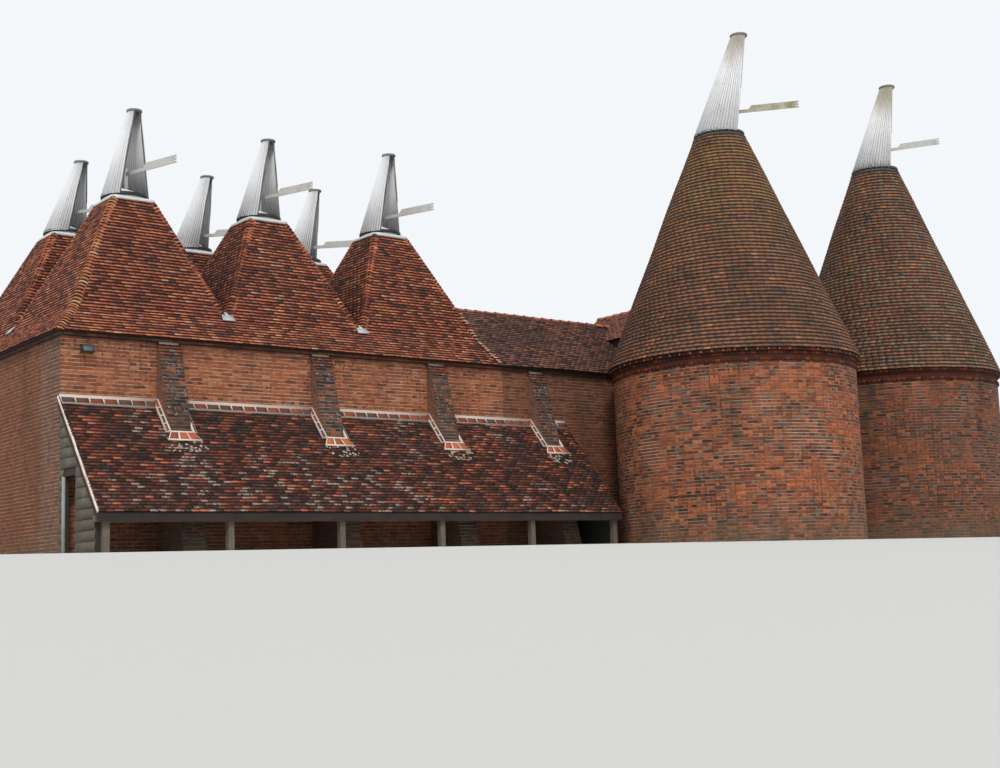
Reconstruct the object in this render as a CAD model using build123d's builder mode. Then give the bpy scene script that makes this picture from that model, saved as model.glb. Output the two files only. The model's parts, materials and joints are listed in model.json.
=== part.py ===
from build123d import *
from math import cos, pi, radians, sin, sqrt, tan
import os

os.makedirs("parts", exist_ok=True)

# Oast house: six square kilns in a block, a link range, two round kilns,
# a lean-to along the front and a turning cowl on every kiln.
# The origin is at ground level, where the centre lines of the front wall and
# the left wall cross. X runs along the front, Y goes back, Z is up.

# Brickwork
wall = 330
eaves_out = 140
ledge_h = 75
ledge_out = 40

# Square kilns
module = 3340
kilns_along = 3
kilns_back = 2
hip_run = 2180
eaves_z = 4500
flare_run = 510
flare_rise = 590
kerb_half = 450
skin = 150

# Range behind the round kilns
range_right_x = 24900
range_rise = 1690
slab = 160
gutter_h = 150
beam_w = 240
beam_h = 300

# Cross roof between the near round kiln and the range
cross_x = 16295
cross_half = 1200
cross_eaves_z = 5630
cross_rise = 940
cross_soffit = 110
cross_back_y = 2500
cross_front_y = -1700

# Round kilns, built with a flat of one brick's length at a time
round_sides = 72
round_wall_top = 4110
corbel_course = 75
corbel_steps = (30, 75)
cone_out = 100
cone_top_r = 630
cone_z = 4410

# Lean-to
lean_top_z = 3200
lean_eaves_y = -2105
lean_eaves_z = 900
lean_right_x = 12480
lean_t = 150
post = 120
post_bays = 5
end_boards = 90
door_y = (-945, -385)
door_h = 1670
lean_left_out = 60
plate_in = 95

# Buttresses: left sides, width, height and depth of the front of the weathered head, batter
buttress_x = (1790, 5320, 8390, 11380)
buttress_w = 480
head_z = 4160
head_depth = 150
batter = 0.263

# Wall light near the left corner
light_x = 340
light_z = 4100
light_w = 240
light_h = 150
light_out = 130
light_top_out = 60

# Cowls: base radius and top radius
square_cowl = (500, 135)
round_cowl = (625, 185)
rim_h = 60
rim_out = 15
board_count = 24
board_t = 24
cap_t = 40
cap_out = 30
mouth_base = 0.60
mouth_top = 0.75
stock = 90
stock_over = 160
rail_h = 70
vane_t = 24
arm_h = 80
vane_h = 170
vane_start = 0.42
fork = 150
prong = 34
turn_gap = 5
seat_gap = 0.3

# Kerbs under the cowls
kerb_t = 15
kerb_ring_h = 60
kerb_ring_t = 110
kerb_ring_in = 30
kerb_lap = 25
bearer_w = 120
bearer_seat = 80
bearer_clear = 12

# Openings at the back
back_door_w = 1000
back_door_h = 2050
back_door_x = (3540, 18600)

# Square kilns: name, shift of the kerb along X and Y, kerb height,
# then the cowl's height and lean, the vane's foot and reach, and the direction in degrees from +X
square_kilns = (
    (("front_left", 125, 0, 7780, 1905, 300, 535, 1580, -72),
     ("front_middle", 30, 0, 7735, 1830, 305, 500, 1570, -69),
     ("front_right", 20, 0, 7795, 1960, 320, 405, 1600, -70)),
    (("back_left", 115, 0, 7710, 1715, 390, 520, 1580, -51),
     ("back_middle", -30, 0, 7680, 1885, 410, 385, 1580, -43),
     ("back_right", -170, 100, 7785, 1925, 385, 390, 1580, -43)),
)
square_vane_rise = 0

# Round kilns: name, place along X, radius, kerb height,
# then the same values of the cowl and its vane
round_kilns = (
    ("round_near", 15495, 2910, 10110, 2635, 640, 600, 2040, -38),
    ("round_far", 21980, 2755, 10230, 2440, 500, 590, 1800, -47),
)
round_vane_rise = 4

# Places worked out from the sizes above
face = wall / 2
edge = face + eaves_out
block_x = 2 * hip_run + (kilns_along - 1) * module - 2 * edge
block_y = 2 * hip_run + (kilns_back - 1) * module - 2 * edge
first = hip_run - edge
break_z = eaves_z + flare_rise
kerb_top = kerb_t + kerb_ring_h


def save(part, name):
    part.label = name
    export_step(part, "parts/" + name + ".step")


def box(low, high, mode=Mode.ADD):
    """A box between two corners, added to the part being built."""
    with BuildSketch(Plane.XY.offset(low[2])) as plan:
        with Locations(((low[0] + high[0]) / 2, (low[1] + high[1]) / 2)):
            Rectangle(high[0] - low[0], high[1] - low[1])
    extrude(plan.sketch, amount=high[2] - low[2], mode=mode)


def corners(x, y, z, half_x, half_y):
    """The corners of a level rectangle about a point."""
    return [(x - half_x, y - half_y, z), (x + half_x, y - half_y, z), (x + half_x, y + half_y, z),
            (x - half_x, y + half_y, z)]


def ring_corners(x, y, z, r, sides):
    """The corners of a level many-sided ring whose flats lie at a radius."""
    points = []
    for i in range(sides):
        angle = 2 * pi * (i + 0.5) / sides
        far = r / cos(pi / sides)
        points.append((x + far * cos(angle), y + far * sin(angle), z))
    return points


def tapered(low, high):
    """A closed solid with flat sides between two level outlines that have as many corners."""
    faces = [Face(Wire.make_polygon(low, close=True)), Face(Wire.make_polygon(high, close=True))]
    for i in range(len(low)):
        j = (i + 1) % len(low)
        faces.append(Face(Wire.make_polygon([low[i], low[j], high[j], high[i]], close=True)))
    return Solid(Shell(faces))


# Walls of the square block, each with an oversailing brick ledge at its head
right_x = block_x
back_y = block_y
ledge_z = eaves_z - ledge_h
half_door = back_door_w / 2
with BuildPart() as front_wall:
    box((-face, -face, 0), (right_x + face, face, eaves_z))
    box((-face - ledge_out, -face - ledge_out, ledge_z), (right_x + face, -face, eaves_z))
save(front_wall.part, "front_wall")

with BuildPart() as left_wall:
    box((-face, face, 0), (face, back_y - face, eaves_z))
    box((-face - ledge_out, -face, ledge_z), (-face, back_y + face, eaves_z))
save(left_wall.part, "left_wall")

with BuildPart() as back_wall:
    box((-face, back_y - face, 0), (right_x + face, back_y + face, eaves_z))
    box((-face - ledge_out, back_y + face, ledge_z), (right_x + face, back_y + face + ledge_out, eaves_z))
    box((back_door_x[0] - half_door, back_y - face, 0),
        (back_door_x[0] + half_door, back_y + face, back_door_h), mode=Mode.SUBTRACT)
save(back_wall.part, "back_wall")

with BuildPart() as party_wall:
    box((right_x - face, face, 0), (right_x + face, back_y - face, eaves_z))
    box((right_x - face, back_y / 2 - half_door, 0), (right_x + face, back_y / 2 + half_door, back_door_h),
        mode=Mode.SUBTRACT)
save(party_wall.part, "party_wall")

# Long walls of the range
with BuildPart() as range_front_wall:
    box((right_x + face, -face, 0), (range_right_x, face, eaves_z))
save(range_front_wall.part, "range_front_wall")

with BuildPart() as range_back_wall:
    box((right_x + face, back_y - face, 0), (range_right_x, back_y + face, eaves_z))
    box((right_x + face, back_y + face, ledge_z), (range_right_x, back_y + face + ledge_out, eaves_z))
    box((back_door_x[1] - half_door, back_y - face, 0),
        (back_door_x[1] + half_door, back_y + face, back_door_h), mode=Mode.SUBTRACT)
save(range_back_wall.part, "range_back_wall")

# Cross-section of the range: two ridges side by side, with a gutter between
quarter = (block_y + 2 * edge) / 4
range_t = range_rise / quarter
hollow_rise = range_rise - slab * sqrt(1 + range_t ** 2)
hollow_run = hollow_rise / range_t
ridges = (-edge + quarter, -edge + 3 * quarter)


def range_hollow(x, length):
    """The two roof spaces of the range, as prisms along X."""
    with BuildSketch(Plane.YZ.offset(x)) as section:
        for y in ridges:
            with BuildLine():
                Polyline((y - hollow_run, eaves_z), (y, eaves_z + hollow_rise), (y + hollow_run, eaves_z),
                         close=True)
            make_face()
    return extrude(section.sketch, amount=length, mode=Mode.PRIVATE)


with BuildPart() as gable:
    with BuildSketch(Plane.YZ.offset(range_right_x - wall)):
        with BuildLine():
            Polyline((face, 0), (face, eaves_z), (back_y - face, eaves_z), (back_y - face, 0), close=True)
        make_face()
    extrude(amount=wall)
    add(range_hollow(range_right_x - wall, wall))
save(gable.part, "range_end_wall")

# Common flared eaves of the square block
cx, cy = block_x / 2, block_y / 2
out_x, out_y = block_x / 2 + edge, block_y / 2 + edge
inner_top = flare_run + skin


def eaves_outline(z, inset):
    """A level rectangle inside the edge of the square block's eaves."""
    return corners(cx, cy, z, out_x - inset, out_y - inset)


with BuildPart() as flare:
    add(tapered(eaves_outline(eaves_z, 0), eaves_outline(break_z, flare_run)))
    add(tapered(eaves_outline(eaves_z, edge + face), eaves_outline(break_z, inner_top)), mode=Mode.SUBTRACT)
save(flare.part, "kiln_eaves")

# Timber beams under the valleys: one along the block and shorter ones across
beam_z = break_z - beam_h
beam_low_y, beam_high_y = cy - beam_w / 2, cy + beam_w / 2
with BuildPart() as middle_beam:
    box((cx - out_x + inner_top, beam_low_y, beam_z), (cx + out_x - inner_top, beam_high_y, break_z))
save(middle_beam.part, "middle_beam")

with BuildPart() as beams:
    for i in range(1, kilns_along):
        x = first + (i - 0.5) * module
        box((x - beam_w / 2, cy - out_y + inner_top, beam_z), (x + beam_w / 2, beam_low_y, break_z))
        box((x - beam_w / 2, beam_high_y, beam_z), (x + beam_w / 2, cy + out_y - inner_top, break_z))
save(beams.part, "valley_beams")


def kiln_place(i, j):
    """The plan centre of a square kiln and the plan centre of its kerb."""
    x, y = first + i * module, first + j * module
    return x, y, x + square_kilns[j][i][1], y + square_kilns[j][i][2]


def kiln_pyramid(i, j, inset):
    """The outer or inner shape of a square kiln's steep roof."""
    x, y, top_x, top_y = kiln_place(i, j)
    half, top_half = module / 2 - inset, kerb_half - inset
    return tapered(corners(x, y, break_z, half, half),
                   corners(top_x, top_y, square_kilns[j][i][3], top_half, top_half))


# Steep roofs of the square kilns
for j in range(kilns_back):
    for i in range(kilns_along):
        with BuildPart() as roof:
            add(kiln_pyramid(i, j, 0))
            add(kiln_pyramid(i, j, skin), mode=Mode.SUBTRACT)
        save(roof.part, "kiln_roof_" + square_kilns[j][i][0])


def kiln_cutter():
    """The filled outer shape of the block's right-hand roofs, for trimming what meets them."""
    with BuildPart() as solid:
        for j in range(kilns_back):
            add(kiln_pyramid(kilns_along - 1, j, 0))
        add(tapered(eaves_outline(eaves_z, 0), eaves_outline(break_z, flare_run)))
    return solid.part


def round_ring(kiln, z0, z1, out0, out1):
    """A filled many-sided ring of a round kiln between two heights, sized from its radius."""
    x, r = kiln[1], kiln[2]
    y = -face - r
    return tapered(ring_corners(x, y, z0, r + out0, round_sides),
                   ring_corners(x, y, z1, r + out1, round_sides))


def cone_solid(kiln):
    """The filled outer shape of a round kiln's roof and corbel, for trimming what meets it."""
    with BuildPart() as solid:
        add(round_ring(kiln, round_wall_top, cone_z, cone_out, cone_out))
        add(round_ring(kiln, cone_z, kiln[3], cone_out, cone_top_r - kiln[2]))
    return solid.part


def trim_back():
    """Cut a round kiln off flat where it meets the range's front wall."""
    split(bisect_by=Plane(origin=(0, -face, 0), x_dir=(1, 0, 0), z_dir=(0, 1, 0)), keep=Keep.BOTTOM)


for kiln in round_kilns:
    with BuildPart() as drum:
        add(round_ring(kiln, 0, round_wall_top, 0, 0))
        add(round_ring(kiln, 0, round_wall_top, -wall, -wall), mode=Mode.SUBTRACT)
    save(drum.part, kiln[0] + "_wall")
    with BuildPart() as corbel:
        z1 = round_wall_top + corbel_course
        z2 = cone_z - corbel_course
        add(round_ring(kiln, round_wall_top, z1, corbel_steps[0], corbel_steps[0]))
        add(round_ring(kiln, z1, z2, 0, 0))
        add(round_ring(kiln, z2, cone_z, corbel_steps[1], corbel_steps[1]))
        add(round_ring(kiln, round_wall_top, cone_z, -wall, -wall), mode=Mode.SUBTRACT)
        trim_back()
    save(corbel.part, kiln[0] + "_corbel")
    with BuildPart() as cone:
        top_out = cone_top_r - kiln[2]
        add(round_ring(kiln, cone_z, kiln[3], cone_out, top_out))
        add(round_ring(kiln, cone_z, kiln[3], cone_out - skin, top_out - skin), mode=Mode.SUBTRACT)
        trim_back()
    save(cone.part, kiln[0] + "_roof")

# Roof of the range, trimmed to the square block and the round kilns
x0, x1 = right_x - module / 4, range_right_x + eaves_out
with BuildPart() as range_roof:
    with BuildSketch(Plane.YZ.offset(x0)):
        with BuildLine():
            half_gutter = gutter_h / range_t
            Polyline((-edge, eaves_z), (ridges[0], eaves_z + range_rise),
                     (-edge + 2 * quarter - half_gutter, eaves_z + gutter_h),
                     (-edge + 2 * quarter + half_gutter, eaves_z + gutter_h),
                     (ridges[1], eaves_z + range_rise), (-edge + 4 * quarter, eaves_z), close=True)
        make_face()
    extrude(amount=x1 - x0)
    add(range_hollow(x0, x1 - x0), mode=Mode.SUBTRACT)
    add(kiln_cutter(), mode=Mode.SUBTRACT)
    for kiln in round_kilns:
        add(cone_solid(kiln), mode=Mode.SUBTRACT)
save(range_roof.part, "range_roof")

with BuildPart() as range_beam:
    box((right_x + face, beam_low_y, eaves_z - beam_h), (range_right_x - wall, beam_high_y, eaves_z))
save(range_beam.part, "range_valley_beam")

# Cross roof with its cheeks, standing on the range roof
with BuildPart() as cross:
    with BuildSketch(Plane.XZ.offset(-cross_back_y)):
        with BuildLine():
            Polyline((cross_x - cross_half, cross_eaves_z), (cross_x, cross_eaves_z + cross_rise),
                     (cross_x + cross_half, cross_eaves_z), close=True)
        make_face()
        with BuildLine():
            cheek = cross_half - cross_soffit
            Polyline((cross_x - cheek, eaves_z), (cross_x - cheek, cross_eaves_z),
                     (cross_x + cheek, cross_eaves_z), (cross_x + cheek, eaves_z), close=True)
        make_face()
    extrude(amount=cross_back_y - cross_front_y)
    with BuildSketch(Plane.YZ.offset(x0)):
        with BuildLine():
            Polyline((-edge, 0), (-edge, eaves_z), (ridges[0], eaves_z + range_rise),
                     (-edge + 2 * quarter, eaves_z), (-edge + 2 * quarter, 0), close=True)
        make_face()
    extrude(amount=x1 - x0, mode=Mode.SUBTRACT)
    for kiln in round_kilns:
        add(cone_solid(kiln), mode=Mode.SUBTRACT)
save(cross.part, "cross_roof")

# Lean-to
slope = (lean_top_z - lean_eaves_z) / (-face - lean_eaves_y)
lean_left_x = -face - lean_left_out


def buttress(x):
    """A raking buttress with a sloping head against the front wall, from the ground up."""
    head = -face - head_depth
    foot = head - batter * head_z
    with BuildSketch(Plane.YZ.offset(x)) as side:
        with BuildLine():
            Polyline((-face, 0), (-face, ledge_z), (head, head_z), (foot, 0), close=True)
        make_face()
    return extrude(side.sketch, amount=buttress_w, mode=Mode.PRIVATE)


with BuildPart() as buttresses:
    for x in buttress_x:
        add(buttress(x))
save(buttresses.part, "buttresses")

with BuildPart() as lean_roof:
    with BuildSketch(Plane.YZ.offset(lean_left_x)):
        with BuildLine():
            Polyline((lean_eaves_y, lean_eaves_z), (-face, lean_top_z), (-face, lean_top_z - lean_t),
                     (lean_eaves_y, lean_eaves_z - lean_t), close=True)
        make_face()
    extrude(amount=lean_right_x - lean_left_x)
    for x in buttress_x:
        add(buttress(x), mode=Mode.SUBTRACT)
save(lean_roof.part, "lean_to_roof")

plate_y = lean_eaves_y + plate_in
plate_top = lean_eaves_z - lean_t + (plate_y - lean_eaves_y) * slope
with BuildPart() as lean_frame:
    with BuildSketch(Plane.XY.offset(plate_top - post)):
        with Locations(((lean_left_x + lean_right_x) / 2, plate_y + post / 2)):
            Rectangle(lean_right_x - lean_left_x, post)
    extrude(amount=post)
    first_post = -face + end_boards + post / 2
    last_post = lean_right_x - end_boards - post / 2
    for i in range(post_bays + 1):
        with BuildSketch():
            with Locations((first_post + i * (last_post - first_post) / post_bays, plate_y + post / 2)):
                Rectangle(post, post)
        extrude(amount=plate_top - post)
save(lean_frame.part, "lean_to_frame")


def lean_end(name, x, door):
    with BuildPart() as piece:
        with BuildSketch(Plane.YZ.offset(x)):
            with BuildLine():
                near = plate_y + post
                Polyline((near, 0), (-face, 0), (-face, lean_top_z - lean_t),
                         (near, lean_top_z - lean_t + (near + face) * slope), close=True)
            make_face()
            if door:
                with Locations(((door_y[0] + door_y[1]) / 2, door_h / 2)):
                    Rectangle(door_y[1] - door_y[0], door_h, mode=Mode.SUBTRACT)
        extrude(amount=end_boards)
    save(piece.part, name)


lean_end("lean_to_left_end", -face, True)
lean_end("lean_to_right_end", lean_right_x - end_boards, False)

# Wall light: a body that slopes out towards its lower edge
with BuildPart() as light:
    with BuildSketch(Plane.YZ.offset(light_x - light_w / 2)):
        with BuildLine():
            Polyline((-face, light_z), (-face, light_z + light_h), (-face - light_top_out, light_z + light_h),
                     (-face - light_out, light_z), close=True)
        make_face()
    extrude(amount=light_w)
save(light.part, "wall_light")

# Where the cowls stand: place, kind of cowl, rise of the vane and the kiln's own values from its name on
sites = []
for j in range(kilns_back):
    for i in range(kilns_along):
        kiln = square_kilns[j][i]
        x, y, top_x, top_y = kiln_place(i, j)
        sites.append((top_x, top_y, kiln[3], square_cowl, square_vane_rise, kiln[0], kiln[4:]))
for kiln in round_kilns:
    sites.append((kiln[1], -face - kiln[2], kiln[3], round_cowl, round_vane_rise, kiln[0], kiln[4:]))

# Lead kerbs and the bearers that carry the cowls
with BuildPart() as kerbs:
    for x, y, z, cowl, rise, name, own in sites:
        ring_out = cowl[0] - kerb_ring_in
        ring_in = ring_out - kerb_ring_t
        with BuildSketch(Plane.XY.offset(z)):
            with Locations((x, y)):
                if cowl == square_cowl:
                    Rectangle(2 * (kerb_half + kerb_lap), 2 * (kerb_half + kerb_lap))
                else:
                    RegularPolygon(cone_top_r + kerb_lap, board_count)
                RegularPolygon(ring_in - bearer_seat, board_count, mode=Mode.SUBTRACT)
        extrude(amount=kerb_t)
        with BuildSketch(Plane.XY.offset(z + kerb_t)):
            with Locations((x, y)):
                RegularPolygon(ring_out, board_count)
                RegularPolygon(ring_in, board_count, mode=Mode.SUBTRACT)
        extrude(amount=kerb_ring_h)
save(kerbs.part, "lead_kerbs")

with BuildPart() as bearers:
    for x, y, z, cowl, rise, name, own in sites:
        half = cowl[0] - kerb_ring_in - kerb_ring_t - bearer_clear
        box((x - half, y - bearer_w / 2, z + kerb_t), (x + half, y + bearer_w / 2, z + kerb_top))
save(bearers.part, "cowl_bearers")


def make_cowl(cowl, own):
    """A boarded skew cone with an open mouth towards +X, its rim, cap, stock and sill."""
    r, top_r = cowl
    height, lean, vane_z = own[:3]
    base = turn_gap + rim_h
    with BuildPart() as shell:
        with BuildSketch(Plane.XY.offset(turn_gap)):
            RegularPolygon(r, board_count, major_radius=False)
        extrude(amount=rim_h)
        add(tapered(ring_corners(0, 0, base, r - rim_out, board_count),
                    ring_corners(lean, 0, height, top_r, board_count)))
        with BuildSketch(Plane.XY.offset(turn_gap)):
            RegularPolygon(r - rim_out - board_t, board_count, major_radius=False, rotation=180 / board_count)
        extrude(amount=rim_h, mode=Mode.SUBTRACT)
        add(tapered(ring_corners(0, 0, base, r - rim_out - board_t, board_count),
                    ring_corners(lean, 0, height, top_r - board_t, board_count)), mode=Mode.SUBTRACT)
        with BuildSketch(Plane.XZ.offset(-r)):
            with BuildLine():
                Polyline((mouth_base * r, base), (lean + mouth_top * top_r, height), (2 * r, height),
                         (2 * r, base), close=True)
            make_face()
        extrude(amount=2 * r, mode=Mode.SUBTRACT)
        with BuildSketch(Plane.XY.offset(height)):
            with Locations((lean, 0)):
                RegularPolygon(top_r + cap_out, board_count, major_radius=False, rotation=180 / board_count)
        extrude(amount=cap_t)
        with BuildSketch(Plane.XY.offset(seat_gap)):
            Circle(stock / 2)
        extrude(amount=base - seat_gap)
        box((-stock / 2, -stock / 2, base), (stock / 2, stock / 2, vane_z + stock_over))
        sill_x = mouth_base * r
        half_sill = (r - rim_out - board_t / 2) * sqrt(1 - mouth_base ** 2)
        box((sill_x - rail_h, -half_sill, base), (sill_x, half_sill, base + rail_h))
        box((-r + rim_out + board_t / 2, -stock / 2, base), (sill_x, stock / 2, base + rail_h))
    return shell.part


def make_vane(own, rise):
    """The arm and its board, with three prongs at the tip."""
    vane_z, reach = own[2:4]
    slope = tan(radians(rise))
    start = reach * vane_start
    tip = reach - fork

    def at(x, up):
        return (x, vane_z + (x - stock / 2) * slope + up)

    with BuildPart() as piece:
        with BuildSketch(Plane.XZ.offset(-vane_t / 2)):
            with BuildLine():
                Polyline(at(stock / 2, 0), at(reach, 0), at(reach, prong), at(tip, vane_h / 3),
                         at(reach, (vane_h - prong) / 2), at(reach, (vane_h + prong) / 2),
                         at(tip, 2 * vane_h / 3), at(reach, vane_h - prong), at(reach, vane_h),
                         at(start, vane_h), at(start - arm_h, arm_h), at(stock / 2, arm_h), close=True)
            make_face()
        extrude(amount=vane_t)
    return piece.part


for x, y, z, cowl, rise, name, own in sites:
    place = Location((x, y, z + kerb_top), (0, 0, own[4]))
    save(make_cowl(cowl, own).moved(place), "cowl_" + name)
    save(make_vane(own, rise).moved(place), "vane_" + name)
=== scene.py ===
import json
from math import cos, hypot, pi, radians, sin, sqrt

import bpy
import numpy as np
from mathutils import Matrix, Vector


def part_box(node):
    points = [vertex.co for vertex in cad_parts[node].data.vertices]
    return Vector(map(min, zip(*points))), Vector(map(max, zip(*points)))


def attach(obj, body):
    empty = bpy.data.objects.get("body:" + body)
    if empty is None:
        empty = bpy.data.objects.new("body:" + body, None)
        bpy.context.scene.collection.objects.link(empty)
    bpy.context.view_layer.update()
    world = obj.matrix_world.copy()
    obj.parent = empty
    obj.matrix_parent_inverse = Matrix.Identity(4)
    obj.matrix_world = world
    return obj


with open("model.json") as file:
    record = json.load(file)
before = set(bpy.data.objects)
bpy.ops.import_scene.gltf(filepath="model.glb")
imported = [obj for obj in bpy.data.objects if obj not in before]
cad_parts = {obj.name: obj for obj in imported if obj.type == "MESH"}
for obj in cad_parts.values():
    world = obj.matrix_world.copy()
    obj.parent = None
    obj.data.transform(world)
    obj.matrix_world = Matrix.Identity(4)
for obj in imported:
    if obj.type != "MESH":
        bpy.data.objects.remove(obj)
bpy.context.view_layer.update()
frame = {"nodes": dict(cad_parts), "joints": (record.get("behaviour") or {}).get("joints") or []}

# The oast house's bricks, tiles, boards and lead, laid on its solids

nodes = frame["nodes"]
HOUSE = "house"

# Sizes in metres, as in the solids
KERB_HALF = 0.45
KERB_TOP = 0.075
LEAN_T = 0.15
BUTTRESS_X, BUTTRESS_W = (1.79, 5.32, 8.39, 11.38), 0.48
HEAD_Z, HEAD_DEPTH, BATTER = 4.16, 0.15, 0.263
DOOR_Y, DOOR_H = (-0.945, -0.385), 1.67
RANGE_RISE = 1.69
CROSS_EAVES, CROSS_RISE, CROSS_HALF, CROSS_SOFFIT = 5.63, 0.94, 1.20, 0.11
CONE_TOP_R, CONE_OUT = 0.63, 0.10
CORBEL_STEPS = (0.030, 0.075)
BACK_DOORS, DOOR_HALF, BACK_DOOR_H = (3.54, 18.60), 0.50, 2.05

# Cowls: base radius and top radius; then each one's height, lean, foot of the vane and direction
SQUARE_COWL, ROUND_COWL = (0.500, 0.135), (0.625, 0.185)
SIDES, BOARDS_PER_SIDE, BOARD_T = 24, 2, 0.024
RIM_OUT, RIM_H, TURN_GAP = 0.015, 0.060, 0.005
MOUTH_BASE, MOUTH_TOP = 0.60, 0.75
STOCK, STOCK_OVER, RAIL_H = 0.090, 0.160, 0.070
SQUARE_KILNS = {
    "front_left": (1.905, 0.300, 0.535, -72), "front_middle": (1.830, 0.305, 0.500, -69),
    "front_right": (1.960, 0.320, 0.405, -70), "back_left": (1.715, 0.390, 0.520, -51),
    "back_middle": (1.885, 0.410, 0.385, -43), "back_right": (1.925, 0.385, 0.390, -43),
}
ROUND_KILNS = {"round_near": (2.635, 0.640, 0.600, -38), "round_far": (2.440, 0.500, 0.590, -47)}

# Brick and tile sizes
COURSE, STRETCHER, HEADER = 0.075, 0.225, 0.1125
BED_JOINT, UPRIGHT_JOINT = 0.0095, 0.0050
TILE_W, TILE_T, TILE_LAP, TILE_GAP = 0.165, 0.015, 0.022, 0.0018
KILN_GAUGE, CONE_GAUGE, RANGE_GAUGE, LEAN_GAUGE, HEAD_GAUGE = 0.083, 0.099, 0.092, 0.083, 0.076
KILN_WAVE, EAVES_WAVE, CONE_WAVE, RANGE_WAVE, CROSS_WAVE = 0.022, 0.010, 0.020, 0.035, 0.020
LEAN_WAVE, HEAD_WAVE = 0.030, 0.004
TILE_SLIP, TAIL_LIFT, TILE_MIN = (-0.005, 0.003), (-0.0015, 0.0030), 0.012
BONNET_SPACING, BONNET_HALF, BONNET_RISE = KILN_GAUGE * 1.12, 0.150, {"lift": 0.064, "tail_up": 0.056}
RIDGE_TILE, RIDGE_HALF = {"spacing": 0.32, "thick": 0.018, "lift": 0.07}, 0.13
RIDGE_UP, RIDGE_SAG, RIDGE_STEP = 0.030, 0.012, 0.006
VERGE_BOARD_H, VERGE_BOARD_T = 0.15, 0.022
HEADER_SPACING, DAB_GAP = 0.1225, 0.231
LAPPED_PITCH, LAPPED_OVER = 0.200, 0.02
LUMPS_EACH, MORTAR_LOST = 34, 0.15

# Places read from the frame
wall_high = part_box("front_wall")[1]
FACE = -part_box("range_front_wall")[0].y
EAVES_Z = wall_high.z
LEDGE_Z = EAVES_Z - COURSE
BREAK_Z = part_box("kiln_roof_front_left")[0].z
BREAK_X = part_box("kiln_roof_front_left")[0].x
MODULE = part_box("kiln_roof_front_left")[1].x - BREAK_X
strip_low, strip_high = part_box("kiln_eaves")
range_low, range_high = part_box("range_roof")
EDGE = -strip_low.y
FLARE = BREAK_X + EDGE
QUARTER = (strip_high.y - strip_low.y) / 4
lean_low, lean_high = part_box("lean_to_roof")
CONE_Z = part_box("round_near_roof")[0].z
joint_at = {j["child"]: Vector(j["pos_m"]) for j in frame["joints"]}
kiln_axis = {name: joint_at["cowl_" + name] for name in [*SQUARE_KILNS, *ROUND_KILNS]}


def round_radius(name):
    """The outer radius of a round kiln's wall."""
    low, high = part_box(name + "_wall")
    return (high.x - low.x) / 2


# Shader building

class Socket:
    """A shader output that takes part in sums; each operator adds its Math node."""

    def __init__(self, nodes, link):
        self.nodes = nodes
        self.link = link

    def maths(self, operation, *others):
        return self.nodes.node("Math", {"operation": operation}, dict(enumerate((self,) + others)))

    def maths_from(self, operation, other):
        return self.nodes.node("Math", {"operation": operation}, {0: other, 1: self})

    def __add__(self, other): return self.maths("ADD", other)
    def __radd__(self, other): return self.maths("ADD", other)
    def __sub__(self, other): return self.maths("SUBTRACT", other)
    def __rsub__(self, other): return self.maths_from("SUBTRACT", other)
    def __mul__(self, other): return self.maths("MULTIPLY", other)
    def __rmul__(self, other): return self.maths("MULTIPLY", other)
    def __truediv__(self, other): return self.maths("DIVIDE", other)
    def __gt__(self, other): return self.maths("GREATER_THAN", other)
    def __lt__(self, other): return self.maths("LESS_THAN", other)
    def __abs__(self): return self.maths("ABSOLUTE")
    def floor(self): return self.maths("FLOOR")
    def part(self): return self.maths("FRACT")
    def least(self, other): return self.maths("MINIMUM", other)


class Nodes:
    """A node tree whose nodes all come from one method."""

    def __init__(self, tree):
        self.tree = tree
        tree.nodes.clear()

    def node(self, kind, settings=None, values=None, out=0):
        """A node with its settings and the values or links of its sockets; out picks its output."""
        made = self.tree.nodes.new("ShaderNode" + kind)
        for key, value in (settings or {}).items():
            if key == "stops":
                self.set_stops(made.color_ramp, value)
            elif key == "interpolation":
                made.color_ramp.interpolation = value
            else:
                setattr(made, key, value)
        for key, value in (values or {}).items():
            if isinstance(value, Socket):
                self.tree.links.new(value.link, made.inputs[key])
            else:
                made.inputs[key].default_value = value
        return Socket(self, made.outputs[out]) if len(made.outputs) else None

    @staticmethod
    def set_stops(ramp, stops):
        while len(ramp.elements) < len(stops):
            ramp.elements.new(0.5)
        for element, (at, colour) in zip(ramp.elements, stops):
            element.position = at
            element.color = (*colour, 1)


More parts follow.
